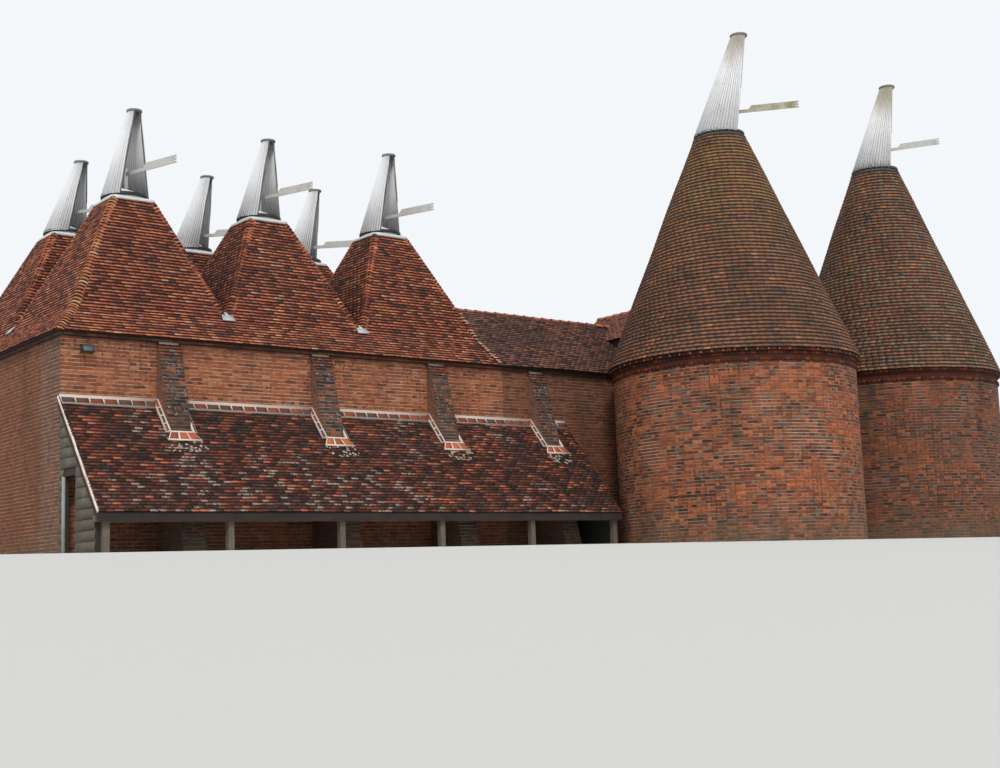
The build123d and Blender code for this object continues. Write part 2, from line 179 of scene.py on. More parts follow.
class Finish(Nodes):
    """One material, built from expressions."""

    def __init__(self, name):
        self.material = bpy.data.materials.new(name)
        self.material.use_nodes = True
        super().__init__(self.material.node_tree)
        self.place = self.node("TexCoord", out="Object")
        self.x, self.y, self.z = (self.node("SeparateXYZ", {}, {0: self.place}, axis) for axis in "XYZ")

    def ramp(self, factor, stops, interpolation="LINEAR"):
        return self.node("ValToRGB", {"stops": stops, "interpolation": interpolation}, {0: factor})

    def mix(self, factor, first, second, blend="MIX"):
        colours = [c if isinstance(c, Socket) else (*c, 1) for c in (first, second)]
        return self.node("Mix", {"data_type": "RGBA", "blend_type": blend},
                         {0: factor, 6: colours[0], 7: colours[1]}, 2)

    def step(self, value, low, high):
        return self.node("MapRange", {"interpolation_type": "SMOOTHSTEP"}, {0: value, 1: low, 2: high})

    def point(self, x, y, z=0.0):
        return self.node("CombineXYZ", {}, {0: x, 1: y, 2: z})

    def noise(self, scale, detail=2.0, where=None, rough=0.5):
        return self.node("TexNoise", {}, {"Vector": where or self.place, "Scale": scale, "Detail": detail,
                                          "Roughness": rough})

    def chance(self, where):
        return self.node("TexWhiteNoise", {"noise_dimensions": "3D"}, {"Vector": where})

    def mark(self, name):
        """A number written on the mesh: tone is one piece's luck, rise runs up a tile from tail to head."""
        return self.node("Attribute", {"attribute_name": name}, {}, "Fac")

    def done(self, colour, rough, bump, depth=0.01, gloss=0.20):
        """The shader and its output; depth is how deep the bump is."""
        values = {"Base Color": colour, "Roughness": rough, "Specular IOR Level": gloss,
                  "Normal": self.node("Bump", {}, {"Strength": 1.0, "Distance": depth, "Height": bump})}
        self.node("OutputMaterial", {}, {0: self.node("BsdfPrincipled", {}, values)})
        return self.material


def shaded(colour, share):
    """A darker colour."""
    return tuple(c * share for c in colour)


BURNT_BRICK, WARM_BRICK, DULL_BRICK = (0.050, 0.028, 0.022), (0.50, 0.120, 0.036), (0.14, 0.070, 0.050)
BRICK_GRAIN = [(0.3, (0.22, 0.12, 0.09)), (0.7, (0.78, 0.48, 0.34))]
# Painted shade on the kiln's side walls, deepest beyond the corner pier; the pier's own brick is grey-brown.
PIER_BRICK, SHADED_SIDE_BRICK = (0.16, 0.105, 0.080), (0.26, 0.075, 0.022)
SIDE_FAR_SHADE, SIDE_SHADE = (0.12, 0.045, 0.022), (0.045, 0.028, 0.020)
# Painted shade in joints and pits that have lost their mortar.
OPEN_JOINT_SHADE, OPEN_PIT_SHADE = (0.045, 0.030, 0.026), (0.030, 0.022, 0.020)
# Soot colour, also used as painted shade on walls that stand in shade; damp at the foot.
SOOT_AND_SHADE, DAMP = (0.040, 0.030, 0.024), (0.11, 0.105, 0.07)
# Darker patches high on the wall; painted shade and shadow lines under the eaves.
HIGH_WALL_DARK, EAVES_SHADE = (0.060, 0.042, 0.034), (0.030, 0.020, 0.016)
PIER_EDGE, DAMP_HEIGHTS, HEAD_HEIGHTS = (0.90, 0.98), (0.35, 1.3), (4.05, 4.40)


class Bond:
    """Courses of brick on a wall: the brick at a place, and how clear the place is of the joints.

    A round kiln's wall is measured round its axis."""

    def __init__(self, f, kiln, header_rows, seed):
        self.side = None
        if kiln:
            axis, radius = kiln_axis[kiln], round_radius(kiln)
            u = f.node("Math", {"operation": "ARCTAN2"}, {0: f.y - axis.y, 1: f.x - axis.x}) * radius
        else:
            facing = f.node("NewGeometry", {}, {}, "True Normal")
            self.side = abs(f.node("SeparateXYZ", {}, {0: facing}, "X")) > 0.6
            u = f.x + self.side * (f.y - f.x)
        z = f.z + (f.noise(1.3, 1.0) - 0.5) * 0.014
        self.row = (z / COURSE).floor()
        up = z / COURSE - self.row
        heads = (self.row / header_rows).part() < 0.1
        length = STRETCHER - heads * (STRETCHER - HEADER)
        along = u / length + (self.row / 2).part() + f.chance(f.point(self.row, seed, 5.0)) * 0.16
        self.cell = along.floor()
        across = along - self.cell
        ragged = f.noise(31.0, 3.0) * 0.006 - 0.003
        self.end = across.least(1 - across) * length + ragged
        self.bed = f.step(up.least(1 - up) * COURSE + ragged, BED_JOINT * 0.6, BED_JOINT + 0.002)
        self.upright = f.step(self.end, UPRIGHT_JOINT * 0.5, UPRIGHT_JOINT + 0.002)
        self.face = self.bed * self.upright


def joint_colour(f, wall, mortar, pale, open_joint_shade):
    """Mortar with worn and pale stretches, and painted shade where an upright joint has lost it."""
    line = f.mix(f.step(f.noise(6.0, 4.0, rough=0.7), 0.42, 0.60), mortar, shaded(mortar, 0.45))
    line = f.mix(f.step(f.noise(1.1, 3.0), 0.50, 0.72) * 0.6, line, pale)
    lost = (1 - wall.upright) * wall.bed * f.step(f.noise(0.9, 3.0), 0.36, 0.52)
    return f.mix(lost * open_joint_shade, line, OPEN_JOINT_SHADE)


def weathered_and_shaded(f, colour, soot_and_shade):
    """Stains, soot and painted shade, damp at the foot, dark patches up high and painted eaves shade."""
    stain = f.step(f.noise(0.9, 4.0, f.point(f.x, f.y, f.z * 0.3)), 0.50, 0.76)
    # Stains and soot; the soot share also paints shade on walls that stand in shade.
    colour = f.mix(stain * 0.30 + soot_and_shade, colour, SOOT_AND_SHADE)
    foot = 1 - f.step(f.z + f.noise(2.0, 2.0) * 0.7, *DAMP_HEIGHTS)
    colour = f.mix(foot * 0.45, colour, DAMP)
    # Darker in patches from the buttress heads up to the eaves.
    head = f.step(f.z, *HEAD_HEIGHTS) * f.step(f.noise(3.0, 3.0), 0.30, 0.62)
    colour = f.mix(head * 0.35, colour, HIGH_WALL_DARK)
    # Painted shade on the projecting ledge course, with painted shadow lines under the ledge and under the
    # eaves.
    ledge = f.step(f.z, LEDGE_Z - 0.030, LEDGE_Z - 0.015)
    under_ledge = ledge * (1 - f.step(f.z, LEDGE_Z + 0.006, LEDGE_Z + 0.012))
    under_eaves = f.step(f.z, EAVES_Z - 0.034, EAVES_Z - 0.024)
    return f.mix(ledge * 0.42 + (under_ledge + under_eaves) * 0.45, colour, EAVES_SHADE)


def brick_finish(name, stops, mortar, pale, kiln=None, soot_and_shade=0.0, seed=0.0, header_rows=4, corner_pier=False,
                 open_joint_shade=0.75, warm=0.0, uneven=0.22, sides=None):
    """Courses of brick with pale joints.

    open_joint_shade paints shade into the joints and pits that have lost their mortar, warm adds orange
    patches, uneven darkens single bricks, sides is the colour of the faces that look left and right, and
    corner_pier paints shade on the side walls beyond the corner pier, whose own brick is grey-brown."""
    f = Finish(name)
    wall = Bond(f, kiln, header_rows, seed)
    side = wall.side
    luck = f.chance(f.point(wall.cell, wall.row, seed))
    brick = f.ramp(luck, stops, "CONSTANT")
    brick = f.mix(f.chance(f.point(wall.cell, wall.row, seed + 0.5)) * uneven, brick, BURNT_BRICK)
    speckle = f.noise(60.0, 3.0)
    brick = f.mix(0.35, brick, f.ramp(speckle, BRICK_GRAIN), "SOFT_LIGHT")
    if sides:
        brick = f.mix(side * 0.60, brick, sides)
    if warm:
        glow = f.step(f.noise(1.1, 3.0, f.point(f.x, f.y, f.z * 1.7)), 0.50, 0.64)
        brick = f.mix(glow * warm, brick, WARM_BRICK)
    brick = f.mix(f.step(f.noise(0.55, 3.0), 0.44, 0.70) * 0.35, brick, DULL_BRICK)
    # Side walls: the corner pier's own grey-brown brick, then painted shade on the wall beyond it.
    if corner_pier:
        near = side * (1 - f.step(f.y + f.noise(5.0, 2.0) * 0.12, *PIER_EDGE))
        beyond = side * (1 - near)
        brick = f.mix(near * 0.62, brick, PIER_BRICK)
        brick = f.mix(beyond * 0.45, brick, SHADED_SIDE_BRICK)
    colour = f.mix(wall.face, joint_colour(f, wall, mortar, pale, open_joint_shade), brick)
    # Painted shade in pits at the brick ends where the mortar has gone.
    pit = (1 - f.step(wall.end, 0.009, 0.018)) * wall.bed
    pit = pit * (f.chance(f.point(wall.cell, wall.row, seed + 0.7)) > 0.35)
    pit = pit * f.step(f.noise(0.8, 3.0, f.point(f.y, f.x, f.z)), 0.46, 0.58)
    colour = f.mix(pit * open_joint_shade, colour, OPEN_PIT_SHADE)
    # Painted shade over the side walls, deepest beyond the pier.
    if corner_pier:
        colour = f.mix(beyond * 0.24, colour, SIDE_FAR_SHADE)
        colour = f.mix(side * 0.28, colour, SIDE_SHADE)
    return f.done(weathered_and_shaded(f, colour, soot_and_shade), 0.92, wall.face * (luck * 0.25 + 0.75) + speckle * 0.25)


TILE_GRAIN = [(0.25, (0.18, 0.12, 0.10)), (0.75, (0.85, 0.66, 0.55))]


def tile_finish(name, stops, lichen, amount, moss=0.0, upper=None, dark=0.25, shadow=0.90, line_from=0.44,
                pale_tiles=0.0):
    """Clay tiles, each with a tone of its own, with lichen in patches.

    dark is the share of old dirt, shadow the dark under the next tail and line_from where it starts on the
    way up; upper gives heights between which lichen thickens, pale_tiles lets it cover single tiles."""
    f = Finish(name)
    tone = f.mark("tone")
    tile = f.ramp(tone, stops, "CONSTANT")
    grain = f.noise(26.0, 4.0)
    tile = f.mix(0.5, tile, f.ramp(grain, TILE_GRAIN), "SOFT_LIGHT")
    old = f.step(f.noise(0.8, 4.0), 0.42, 0.70)
    tile = f.mix(old * dark, tile, (0.070, 0.046, 0.040))
    spots = f.step(f.noise(7.0, 5.0, rough=0.65) + (tone * 7.13).part() * 0.22, 0.60, 0.78)
    cover = spots * amount
    if pale_tiles:
        chosen = ((tone * 23.7).part() > 0.80) * f.step(f.noise(0.45, 2.0), 0.46, 0.56)
        cover = cover + chosen * f.step(f.noise(19.0, 3.0), 0.36, 0.52) * pale_tiles
    if upper:
        cover = cover + f.step(f.z, *upper) * f.step(f.noise(3.2, 5.0, rough=0.7), 0.36, 0.62) * 0.55
    growth = f.mix(f.noise(2.2, 2.0), lichen, shaded(lichen, 0.55))
    tile = f.mix(cover.least(1.0), tile, growth)
    if moss:
        tile = f.mix(f.step(f.noise(1.7, 5.0, rough=0.7), 0.58, 0.72) * moss, tile, (0.075, 0.085, 0.035))
    # Painted shadow under the tail of the next course, from line_from up each tile.
    under = f.step(f.mark("rise") + grain * 0.20, line_from, line_from + 0.20)
    tile = f.mix(under * shadow, tile, (0.020, 0.013, 0.011))
    return f.done(tile, 0.86, grain + spots * 0.4, 0.006)


def wood_finish(name, base, worn, drawn=(1.0, 1.0, 0.12), wear=0.5, rough=0.75, grime=(0.16, 0.15, 0.12),
                stain=None, foot=None):
    """Painted or bare timber, worn in patches and grimy, with its grain drawn out along its length.

    stain is a colour that comes down from the top between two heights, foot one that comes up from below."""
    f = Finish(name)
    where = f.point(f.x * drawn[0], f.y * drawn[1], f.z * drawn[2])
    grain = f.noise(34.0, 6.0, where, 0.65)
    shade = f.mix(grain, base, shaded(base, 0.84))
    shade = f.mix((f.mark("tone") * 3.7).part() * 0.30, shade, shaded(base, 0.76))
    bare = f.step(grain * 0.6 + f.noise(3.0, 4.0) * 0.6, 0.66 - 0.1 * wear, 0.78)
    shade = f.mix(bare * wear, shade, worn)
    shade = f.mix(f.step(f.noise(1.6, 5.0, where), 0.50, 0.78) * 0.5 * wear, shade, grime)
    if stain:
        colour, low, high = stain
        shade = f.mix(f.step(f.z + f.noise(5.0, 4.0, where) * 0.9, low, high) * 0.75, shade, colour)
    if foot:
        colour, low, high = foot
        shade = f.mix((1 - f.step(f.z + f.noise(22.0, 3.0, where) * 0.30, low, high)) * 0.7, shade, colour)
    return f.done(shade, rough, grain, 0.004, 0.25)


def metal_finish(name, colour, rough, pale=(0.75, 0.77, 0.78), cloudy=0.6, depth=0.004):
    """Lead, iron and glass, with pale clouds and dull specks."""
    f = Finish(name)
    fine = f.noise(42.0, 4.0)
    shade = f.mix(f.step(f.noise(4.0, 5.0), 0.35, 0.7) * cloudy, colour, pale)
    shade = f.mix(f.step(fine, 0.5, 0.8) * 0.35, shade, shaded(colour, 0.55))
    return f.done(shade, rough, fine, depth, 0.4)


def mortar_finish(name, colour):
    """Lime mortar with duller patches and grains."""
    f = Finish(name)
    fine = f.noise(55.0, 4.0)
    shade = f.mix(f.step(f.noise(2.5, 4.0), 0.4, 0.75) * 0.35, colour, shaded(colour, 0.7))
    shade = f.mix(f.step(fine, 0.45, 0.75) * 0.3, shade, shaded(colour, 0.75))
    return f.done(shade, 0.95, fine, 0.006)


def single_brick_finish(name, stops):
    """Bricks and tiles that are pieces of their own."""
    f = Finish(name)
    fine = f.noise(48.0, 4.0)
    brick = f.ramp(f.mark("tone"), stops, "CONSTANT")
    grain = f.ramp(fine, [(0.3, (0.22, 0.14, 0.11)), (0.7, (0.80, 0.55, 0.42))])
    brick = f.mix(0.4, brick, grain, "SOFT_LIGHT")
    brick = f.mix(f.step(f.noise(4.0, 4.0), 0.5, 0.75) * 0.35, brick, (0.10, 0.075, 0.06))
    return f.done(brick, 0.92, fine, 0.006)


ROUND_MORTAR, KILN_MORTAR, PALE_MORTAR = (0.34, 0.245, 0.175), (0.56, 0.35, 0.235), (0.62, 0.50, 0.38)
KILN_BRICKS = [(0.0, (0.35, 0.115, 0.052)), (0.22, (0.43, 0.150, 0.063)), (0.42, (0.28, 0.085, 0.047)),
               (0.60, (0.47, 0.182, 0.082)), (0.76, (0.36, 0.125, 0.065)), (0.90, (0.16, 0.062, 0.042)),
               (0.97, (0.50, 0.25, 0.14))]
ROUND_BRICKS = [(0.0, (0.32, 0.090, 0.040)), (0.20, (0.45, 0.130, 0.048)), (0.36, (0.20, 0.060, 0.032)),
                (0.52, (0.54, 0.170, 0.062)), (0.64, (0.14, 0.058, 0.040)), (0.74, (0.17, 0.120, 0.092)),
                (0.84, (0.28, 0.160, 0.112)), (0.92, (0.055, 0.032, 0.028))]
# Corbel bricks darkened with painted shade under the cone's overhang, a few red of their own.
SHADED_CORBEL_BRICKS = [(0.0, (0.075, 0.026, 0.018)), (0.30, (0.15, 0.040, 0.022)), (0.6, (0.055, 0.024, 0.019)),
                 (0.85, (0.21, 0.052, 0.028))]
DARK_BRICKS = [(0.0, (0.068, 0.042, 0.036)), (0.26, (0.12, 0.060, 0.045)), (0.46, (0.036, 0.028, 0.027)),
               (0.64, (0.20, 0.068, 0.042)), (0.76, (0.095, 0.074, 0.065)), (0.91, (0.32, 0.11, 0.056))]
KILN_TILES = [(0.0, (0.56, 0.165, 0.094)), (0.17, (0.38, 0.110, 0.070)), (0.34, (0.70, 0.230, 0.120)),
              (0.52, (0.24, 0.080, 0.060)), (0.66, (0.54, 0.180, 0.108)), (0.80, (0.80, 0.290, 0.145)),
              (0.91, (0.13, 0.062, 0.054)), (0.965, (0.84, 0.44, 0.28))]
HIP_TILES = [(0.0, (0.56, 0.25, 0.13)), (0.35, (0.64, 0.34, 0.19)), (0.6, (0.46, 0.165, 0.085)),
             (0.85, (0.66, 0.42, 0.27))]
RANGE_TILES = [(0.0, (0.23, 0.104, 0.082)), (0.2, (0.13, 0.064, 0.056)), (0.4, (0.32, 0.135, 0.100)),
               (0.6, (0.075, 0.045, 0.044)), (0.75, (0.27, 0.150, 0.128)), (0.9, (0.48, 0.190, 0.125))]
CONE_TILES = [(0.0, (0.34, 0.170, 0.110)), (0.22, (0.29, 0.155, 0.105)), (0.44, (0.38, 0.180, 0.110)),
              (0.62, (0.24, 0.140, 0.105)), (0.76, (0.36, 0.200, 0.130)), (0.88, (0.46, 0.185, 0.095)),
              (0.92, (0.13, 0.115, 0.120)), (0.975, (0.58, 0.27, 0.14))]
LEAN_TILES = [(0.0, (0.140, 0.048, 0.034)), (0.2, (0.070, 0.031, 0.025)), (0.42, (0.215, 0.068, 0.044)),
              (0.62, (0.042, 0.024, 0.021)), (0.80, (0.33, 0.098, 0.056)), (0.94, (0.66, 0.20, 0.105))]
CREASE_TILES = [(0.0, (0.23, 0.078, 0.050)), (0.3, (0.15, 0.070, 0.056)), (0.55, (0.30, 0.096, 0.054)),
                (0.8, (0.115, 0.075, 0.068))]
FOOT_TILES = [(0.0, (0.46, 0.130, 0.060)), (0.5, (0.54, 0.165, 0.070)), (0.8, (0.34, 0.105, 0.062))]
KILN_LICHEN = (0.50, 0.30, 0.20)
OUTER_WHITE, OUTER_WORN, OUTER_GRIME = (0.94, 0.94, 0.955), (0.62, 0.61, 0.59), (0.42, 0.41, 0.38)

finishes = {
    "kiln_brick": brick_finish("KilnBrick", KILN_BRICKS, KILN_MORTAR, PALE_MORTAR, corner_pier=True),
    # The range wall's soot share is soot and painted shade, for the shade it stands in beside the near kiln.
    "range_brick": brick_finish("RangeBrick", KILN_BRICKS, KILN_MORTAR, KILN_MORTAR, soot_and_shade=0.46, seed=3.0),
    "buttress_brick": brick_finish("ButtressBrick", DARK_BRICKS, (0.20, 0.165, 0.135), (0.36, 0.32, 0.27),
                                   seed=5.0, sides=(0.34, 0.145, 0.085)),
    # Corbel bricks in painted shade under the cones' overhang.
    "corbel_brick": single_brick_finish("CorbelBrickInShade", SHADED_CORBEL_BRICKS),
    "kiln_tiles": tile_finish("KilnTiles", KILN_TILES, KILN_LICHEN, 0.20, moss=0.32, shadow=0.98,
                              line_from=0.29),
    # The hips' larger dark share is old dirt and painted shade on bonnets that face the light.
    "kiln_hips": tile_finish("KilnHips", KILN_TILES, KILN_LICHEN, 0.20, dark=0.45, shadow=0.97,
                             line_from=0.26),
    "hip_tiles": tile_finish("PaleHipTiles", HIP_TILES, (0.58, 0.42, 0.26), 0.25, dark=0.15, shadow=0.96,
                             line_from=0.34),
    "range_tiles": tile_finish("RangeTiles", RANGE_TILES, (0.36, 0.31, 0.25), 0.26, moss=0.20, dark=0.45,
                               shadow=0.94, line_from=0.36),
    "cone_near": tile_finish("ConeTilesNear", CONE_TILES, (0.50, 0.33, 0.115), 0.34, moss=0.20,
                             upper=(6.4, 8.8), dark=0.50, line_from=0.35),
    "cone_far": tile_finish("ConeTilesFar", CONE_TILES, (0.42, 0.36, 0.22), 0.85, moss=0.25, dark=0.42,
                            line_from=0.35),
    "lean_to_tiles": tile_finish("LeanToTiles", LEAN_TILES, (0.66, 0.52, 0.44), 0.10, dark=0.50,
                                 line_from=0.34, pale_tiles=0.80),
    "head_tiles": tile_finish("HeadTiles", CREASE_TILES, (0.36, 0.33, 0.29), 0.60, line_from=0.42),
    "ridge_tiles": tile_finish("RidgeTiles", [(0.0, (0.50, 0.17, 0.09)), (0.5, (0.38, 0.13, 0.08))],
                               (0.50, 0.36, 0.26), 0.4, dark=0.1, line_from=0.80),
    "cross_tiles": tile_finish("CrossTiles", RANGE_TILES[2:4] + [(0.7, (0.42, 0.16, 0.10))],
                               (0.40, 0.30, 0.22), 0.30, line_from=0.50),
    "crease_tiles": single_brick_finish("CreaseTiles", CREASE_TILES),
    "foot_tiles": single_brick_finish("FootTiles", FOOT_TILES),
    "timber": wood_finish("OldTimber", (0.15, 0.12, 0.095), (0.25, 0.22, 0.18)),
    "weatherboard": wood_finish("Weatherboard", (0.140, 0.122, 0.090), (0.25, 0.22, 0.17),
                                drawn=(0.5, 0.1, 1.0), wear=0.6),
    # Near-black painted shade behind the lean-to's boards, seen in the doorway.
    "shade_behind_boards": wood_finish("ShadeBehindBoards", (0.04, 0.037, 0.030), (0.06, 0.055, 0.045),
                               drawn=(1.0, 0.1, 1.0), wear=0.4),
    "pale_post": wood_finish("PalePost", (0.42, 0.43, 0.40), (0.28, 0.26, 0.22)),
    "lead": metal_finish("Lead", (0.44, 0.48, 0.50), 0.55, (0.66, 0.69, 0.70)),
    "dark_lead": metal_finish("DarkLead", (0.055, 0.052, 0.050), 0.7, (0.11, 0.10, 0.095)),
    "kerb_lead": metal_finish("KerbLead", (0.62, 0.65, 0.64), 0.6, (0.82, 0.82, 0.78)),
    "iron": metal_finish("BlackIron", (0.016, 0.016, 0.018), 0.55, (0.04, 0.036, 0.032)),
    "cap": metal_finish("CapLead", (0.20, 0.19, 0.185), 0.6, (0.34, 0.32, 0.30)),
    "lamp_glass": metal_finish("LampGlass", (0.10, 0.135, 0.13), 0.30, (0.19, 0.23, 0.23), cloudy=0.5,
                               depth=0.001),
    "lamp_case": metal_finish("LampCase", (0.020, 0.021, 0.023), 0.5, (0.05, 0.05, 0.05)),
    "outer_boards": wood_finish("OuterBoards", OUTER_WHITE, OUTER_WORN, wear=0.35, rough=0.6,
                                grime=OUTER_GRIME),
    "outer_near": wood_finish("OuterBoardsNear", OUTER_WHITE, OUTER_WORN, wear=0.45, rough=0.65,
                              grime=OUTER_GRIME, stain=((0.40, 0.33, 0.22), 12.2, 13.2)),
    "outer_far": wood_finish("OuterBoardsFar", OUTER_WHITE, OUTER_WORN, wear=0.45, rough=0.65,
                             grime=OUTER_GRIME, stain=((0.34, 0.30, 0.15), 12.1, 13.1),
                             foot=((0.16, 0.15, 0.13), 10.40, 10.72)),
    # Dark grey painted shade in the gaps between the cowl boards.
    "shade_in_board_gaps": wood_finish("ShadeInBoardGaps", (0.16, 0.16, 0.16), (0.11, 0.11, 0.10), wear=0.4, rough=0.85),
    "inner_boards": wood_finish("InnerBoards", (0.93, 0.93, 0.94), (0.62, 0.62, 0.61), wear=0.45, rough=0.8,
                                grime=(0.44, 0.43, 0.42)),
    "pale_frame": wood_finish("PaleFrame", (0.90, 0.90, 0.89), (0.66, 0.64, 0.58), wear=0.4, rough=0.7),
    "vane_boards": wood_finish("VaneBoards", (0.62, 0.61, 0.58), (0.40, 0.37, 0.30), drawn=(0.4, 0.4, 1.0),
                               wear=0.8, rough=0.7),
    "mossy_vane": wood_finish("MossyVane", (0.52, 0.49, 0.40), (0.27, 0.22, 0.09), drawn=(0.8, 0.8, 1.6),
                              wear=1.2, rough=0.8, grime=(0.20, 0.17, 0.07)),
    "mortar": mortar_finish("CreasingMortar", (0.88, 0.78, 0.68)),
    "hip_mortar": mortar_finish("HipMortar", (0.78, 0.60, 0.46)),
    "grey_mortar": mortar_finish("GreyMortar", (0.40, 0.365, 0.31)),
    # Near-black painted shade under the tiles, seen under the eaves and between the tiles.
    "shade_under_tiles": metal_finish("ShadeUnderTiles", (0.030, 0.022, 0.020), 0.9, (0.05, 0.035, 0.030)),
    "shade": metal_finish("DarkSoffit", (0.030, 0.025, 0.022), 0.9, (0.05, 0.04, 0.035)),
}
for kiln, seed, soot_and_shade in (("round_near", 7.0, 0.0), ("round_far", 9.0, 0.36)):
    finishes[kiln + "_brick"] = brick_finish("Brick_" + kiln, ROUND_BRICKS, ROUND_MORTAR, PALE_MORTAR, kiln,
                                             soot_and_shade, seed, header_rows=2, warm=0.45, uneven=0.50,
                                             open_joint_shade=0.9)


# Mesh building

BOX_FACES = [(3, 2, 1, 0), (4, 5, 6, 7), (0, 1, 5, 4), (1, 2, 6, 5), (2, 3, 7, 6), (3, 0, 4, 7)]
TAIL_TO_HEAD = np.array([0, 0, 1, 1, 0, 0, 1, 1], float)


class Heap:
    """Small closed pieces gathered into one mesh, each with a tone of its own; the seed fixes its chances."""

    def __init__(self, seed):
        self.random = np.random.default_rng(seed)
        self.points = []
        self.faces = []
        self.tones = []
        self.rises = []
        self.count = 0

    def add(self, points, faces, tones=None, rise=None):
        """points is (pieces, corners, 3), faces name corners, tones are per piece and rise is per corner."""
        pieces, corners = points.shape[:2]
        if tones is None:
            tones = self.random.random(pieces)
        starts = np.arange(pieces) * corners + self.count
        for size in sorted({len(face) for face in faces}):
            shape = np.array([face for face in faces if len(face) == size])
            self.faces.append((shape[None] + starts[:, None, None]).reshape(-1, size))
            self.tones.append(np.repeat(tones, len(shape)))
        self.points.append(points.reshape(-1, 3))
        self.rises.append(np.tile(np.zeros(corners) if rise is None else rise, pieces))
        self.count += pieces * corners

    def prism(self, outline, depth, tone=None):
        """A flat outline pushed along a vector."""
        outline, depth = np.array(outline, float), np.array(depth, float)
        n = len(outline)
        spokes = outline - outline[0]
        normal = sum(np.cross(spokes[i], spokes[(i + 1) % n]) for i in range(1, n))
        if normal @ depth < 0:
            outline = outline[::-1]
        faces = [tuple(range(n))[::-1], tuple(range(n, 2 * n))]
        faces += [(i, (i + 1) % n, n + (i + 1) % n, n + i) for i in range(n)]
        tones = None if tone is None else np.array([tone])
        self.add(np.concatenate([outline, outline + depth])[None], faces, tones)

    def bar(self, start, end, side, width, thick, chamfer=0.006, tone=None):
        """A bar with chamfered edges; side is the direction of its width."""
        start, end, side = (np.array(v, float) for v in (start, end, side))
        way = (end - start) / np.linalg.norm(end - start)
        side = side - way * (side @ way)
        side /= np.linalg.norm(side)
        over = np.cross(way, side)
        w, t, c = width / 2, thick / 2, chamfer
        ring = [(w, t - c), (w - c, t), (c - w, t), (-w, t - c),
                (-w, c - t), (c - w, -t), (w - c, -t), (w, c - t)]
        self.prism([start + side * a + over * b for a, b in ring], end - start, tone)

    def lump(self, centre, out, size):
        """An uneven blob of mortar lying on a face that looks along out."""
        out = np.array(out, float) / np.linalg.norm(out)
        a = np.cross(out, (0.31, 0.17, 0.94))
        a /= np.linalg.norm(a)
        b = np.cross(out, a)
        sides = 7
        points = []
        for level, reach in ((-0.01, 1.0), (0.35, 0.75)):
            for k in range(sides):
                angle = 2 * pi * k / sides
                far = size * reach * self.random.uniform(0.7, 1.15)
                points.append(a * cos(angle) * far + b * sin(angle) * far + out * size * level * 0.6)
        points.append(out * size * 0.3)
        faces = [tuple(range(sides))[::-1]]
        faces += [(k, (k + 1) % sides, sides + (k + 1) % sides, sides + k) for k in range(sides)]
        faces += [(sides + k, sides + (k + 1) % sides, 2 * sides) for k in range(sides)]
        self.add((np.array(points) + np.array(centre, float))[None], faces)

    def make(self, name, body, slot, finish):
        """The heap as one mesh that rides on a body."""
        points = np.concatenate(self.points).astype(np.float32)
        mesh = bpy.data.meshes.new(name)
        sizes = np.concatenate([np.full(len(f), f.shape[1]) for f in self.faces])
        corners = np.concatenate([f.ravel() for f in self.faces]).astype(np.int32)
        starts = np.concatenate([[0], np.cumsum(sizes)[:-1]]).astype(np.int32)
        mesh.vertices.add(len(points))
        mesh.vertices.foreach_set("co", points.ravel())
        mesh.loops.add(len(corners))
        mesh.loops.foreach_set("vertex_index", corners)
        mesh.polygons.add(len(sizes))
        mesh.polygons.foreach_set("loop_start", starts)
        mesh.update(calc_edges=True)
        for mark, domain, values in (("tone", "FACE", self.tones), ("rise", "POINT", self.rises)):
            made = mesh.attributes.new(mark, "FLOAT", domain)
            made.data.foreach_set("value", np.concatenate(values).astype(np.float32))
        piece = bpy.data.objects.new(name, mesh)
        bpy.context.scene.collection.objects.link(piece)
        mesh.materials.append(finishes[finish])
        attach(piece, body)
        return piece


def unit(v):
    v = np.array(v, float)
    return v / np.linalg.norm(v)


def wave(points, amount):
    """A gentle unevenness from 0 to amount, the same for the same place."""
    x, y, z = points[..., 0], points[..., 1], points[..., 2]
    rise = np.sin(1.9 * x + 0.7 * z) + np.sin(2.7 * z + 1.3 * y + 0.5) + np.sin(0.8 * x - 1.7 * y + 2.1 * z)
    return amount * (rise / 6 + 0.5)


def lay_tiles(heap, low_left, low_right, high_left, high_right, normal, uneven):
    """Tiles whose tails stand proud of the course below; each argument is (tiles, 3)."""
    pieces = len(low_left)
    lift = heap.random.uniform(*TAIL_LIFT, (pieces, 2, 1))
    out = np.empty((pieces, 8, 3))
    for i, (place, low, high) in enumerate(((low_left, TILE_T, 2 * TILE_T), (low_right, TILE_T, 2 * TILE_T),
                                            (high_right, 0.0, TILE_T), (high_left, 0.0, TILE_T))):
        tail = lift[:, i] if i < 2 else 0.0
        out[:, i] = place + normal * (low + tail)
        out[:, 4 + i] = place + normal * (high + tail)
    if uneven:
        out += normal[:, None] * wave(out, uneven)[..., None]
    heap.add(out, BOX_FACES, None, TAIL_TO_HEAD)


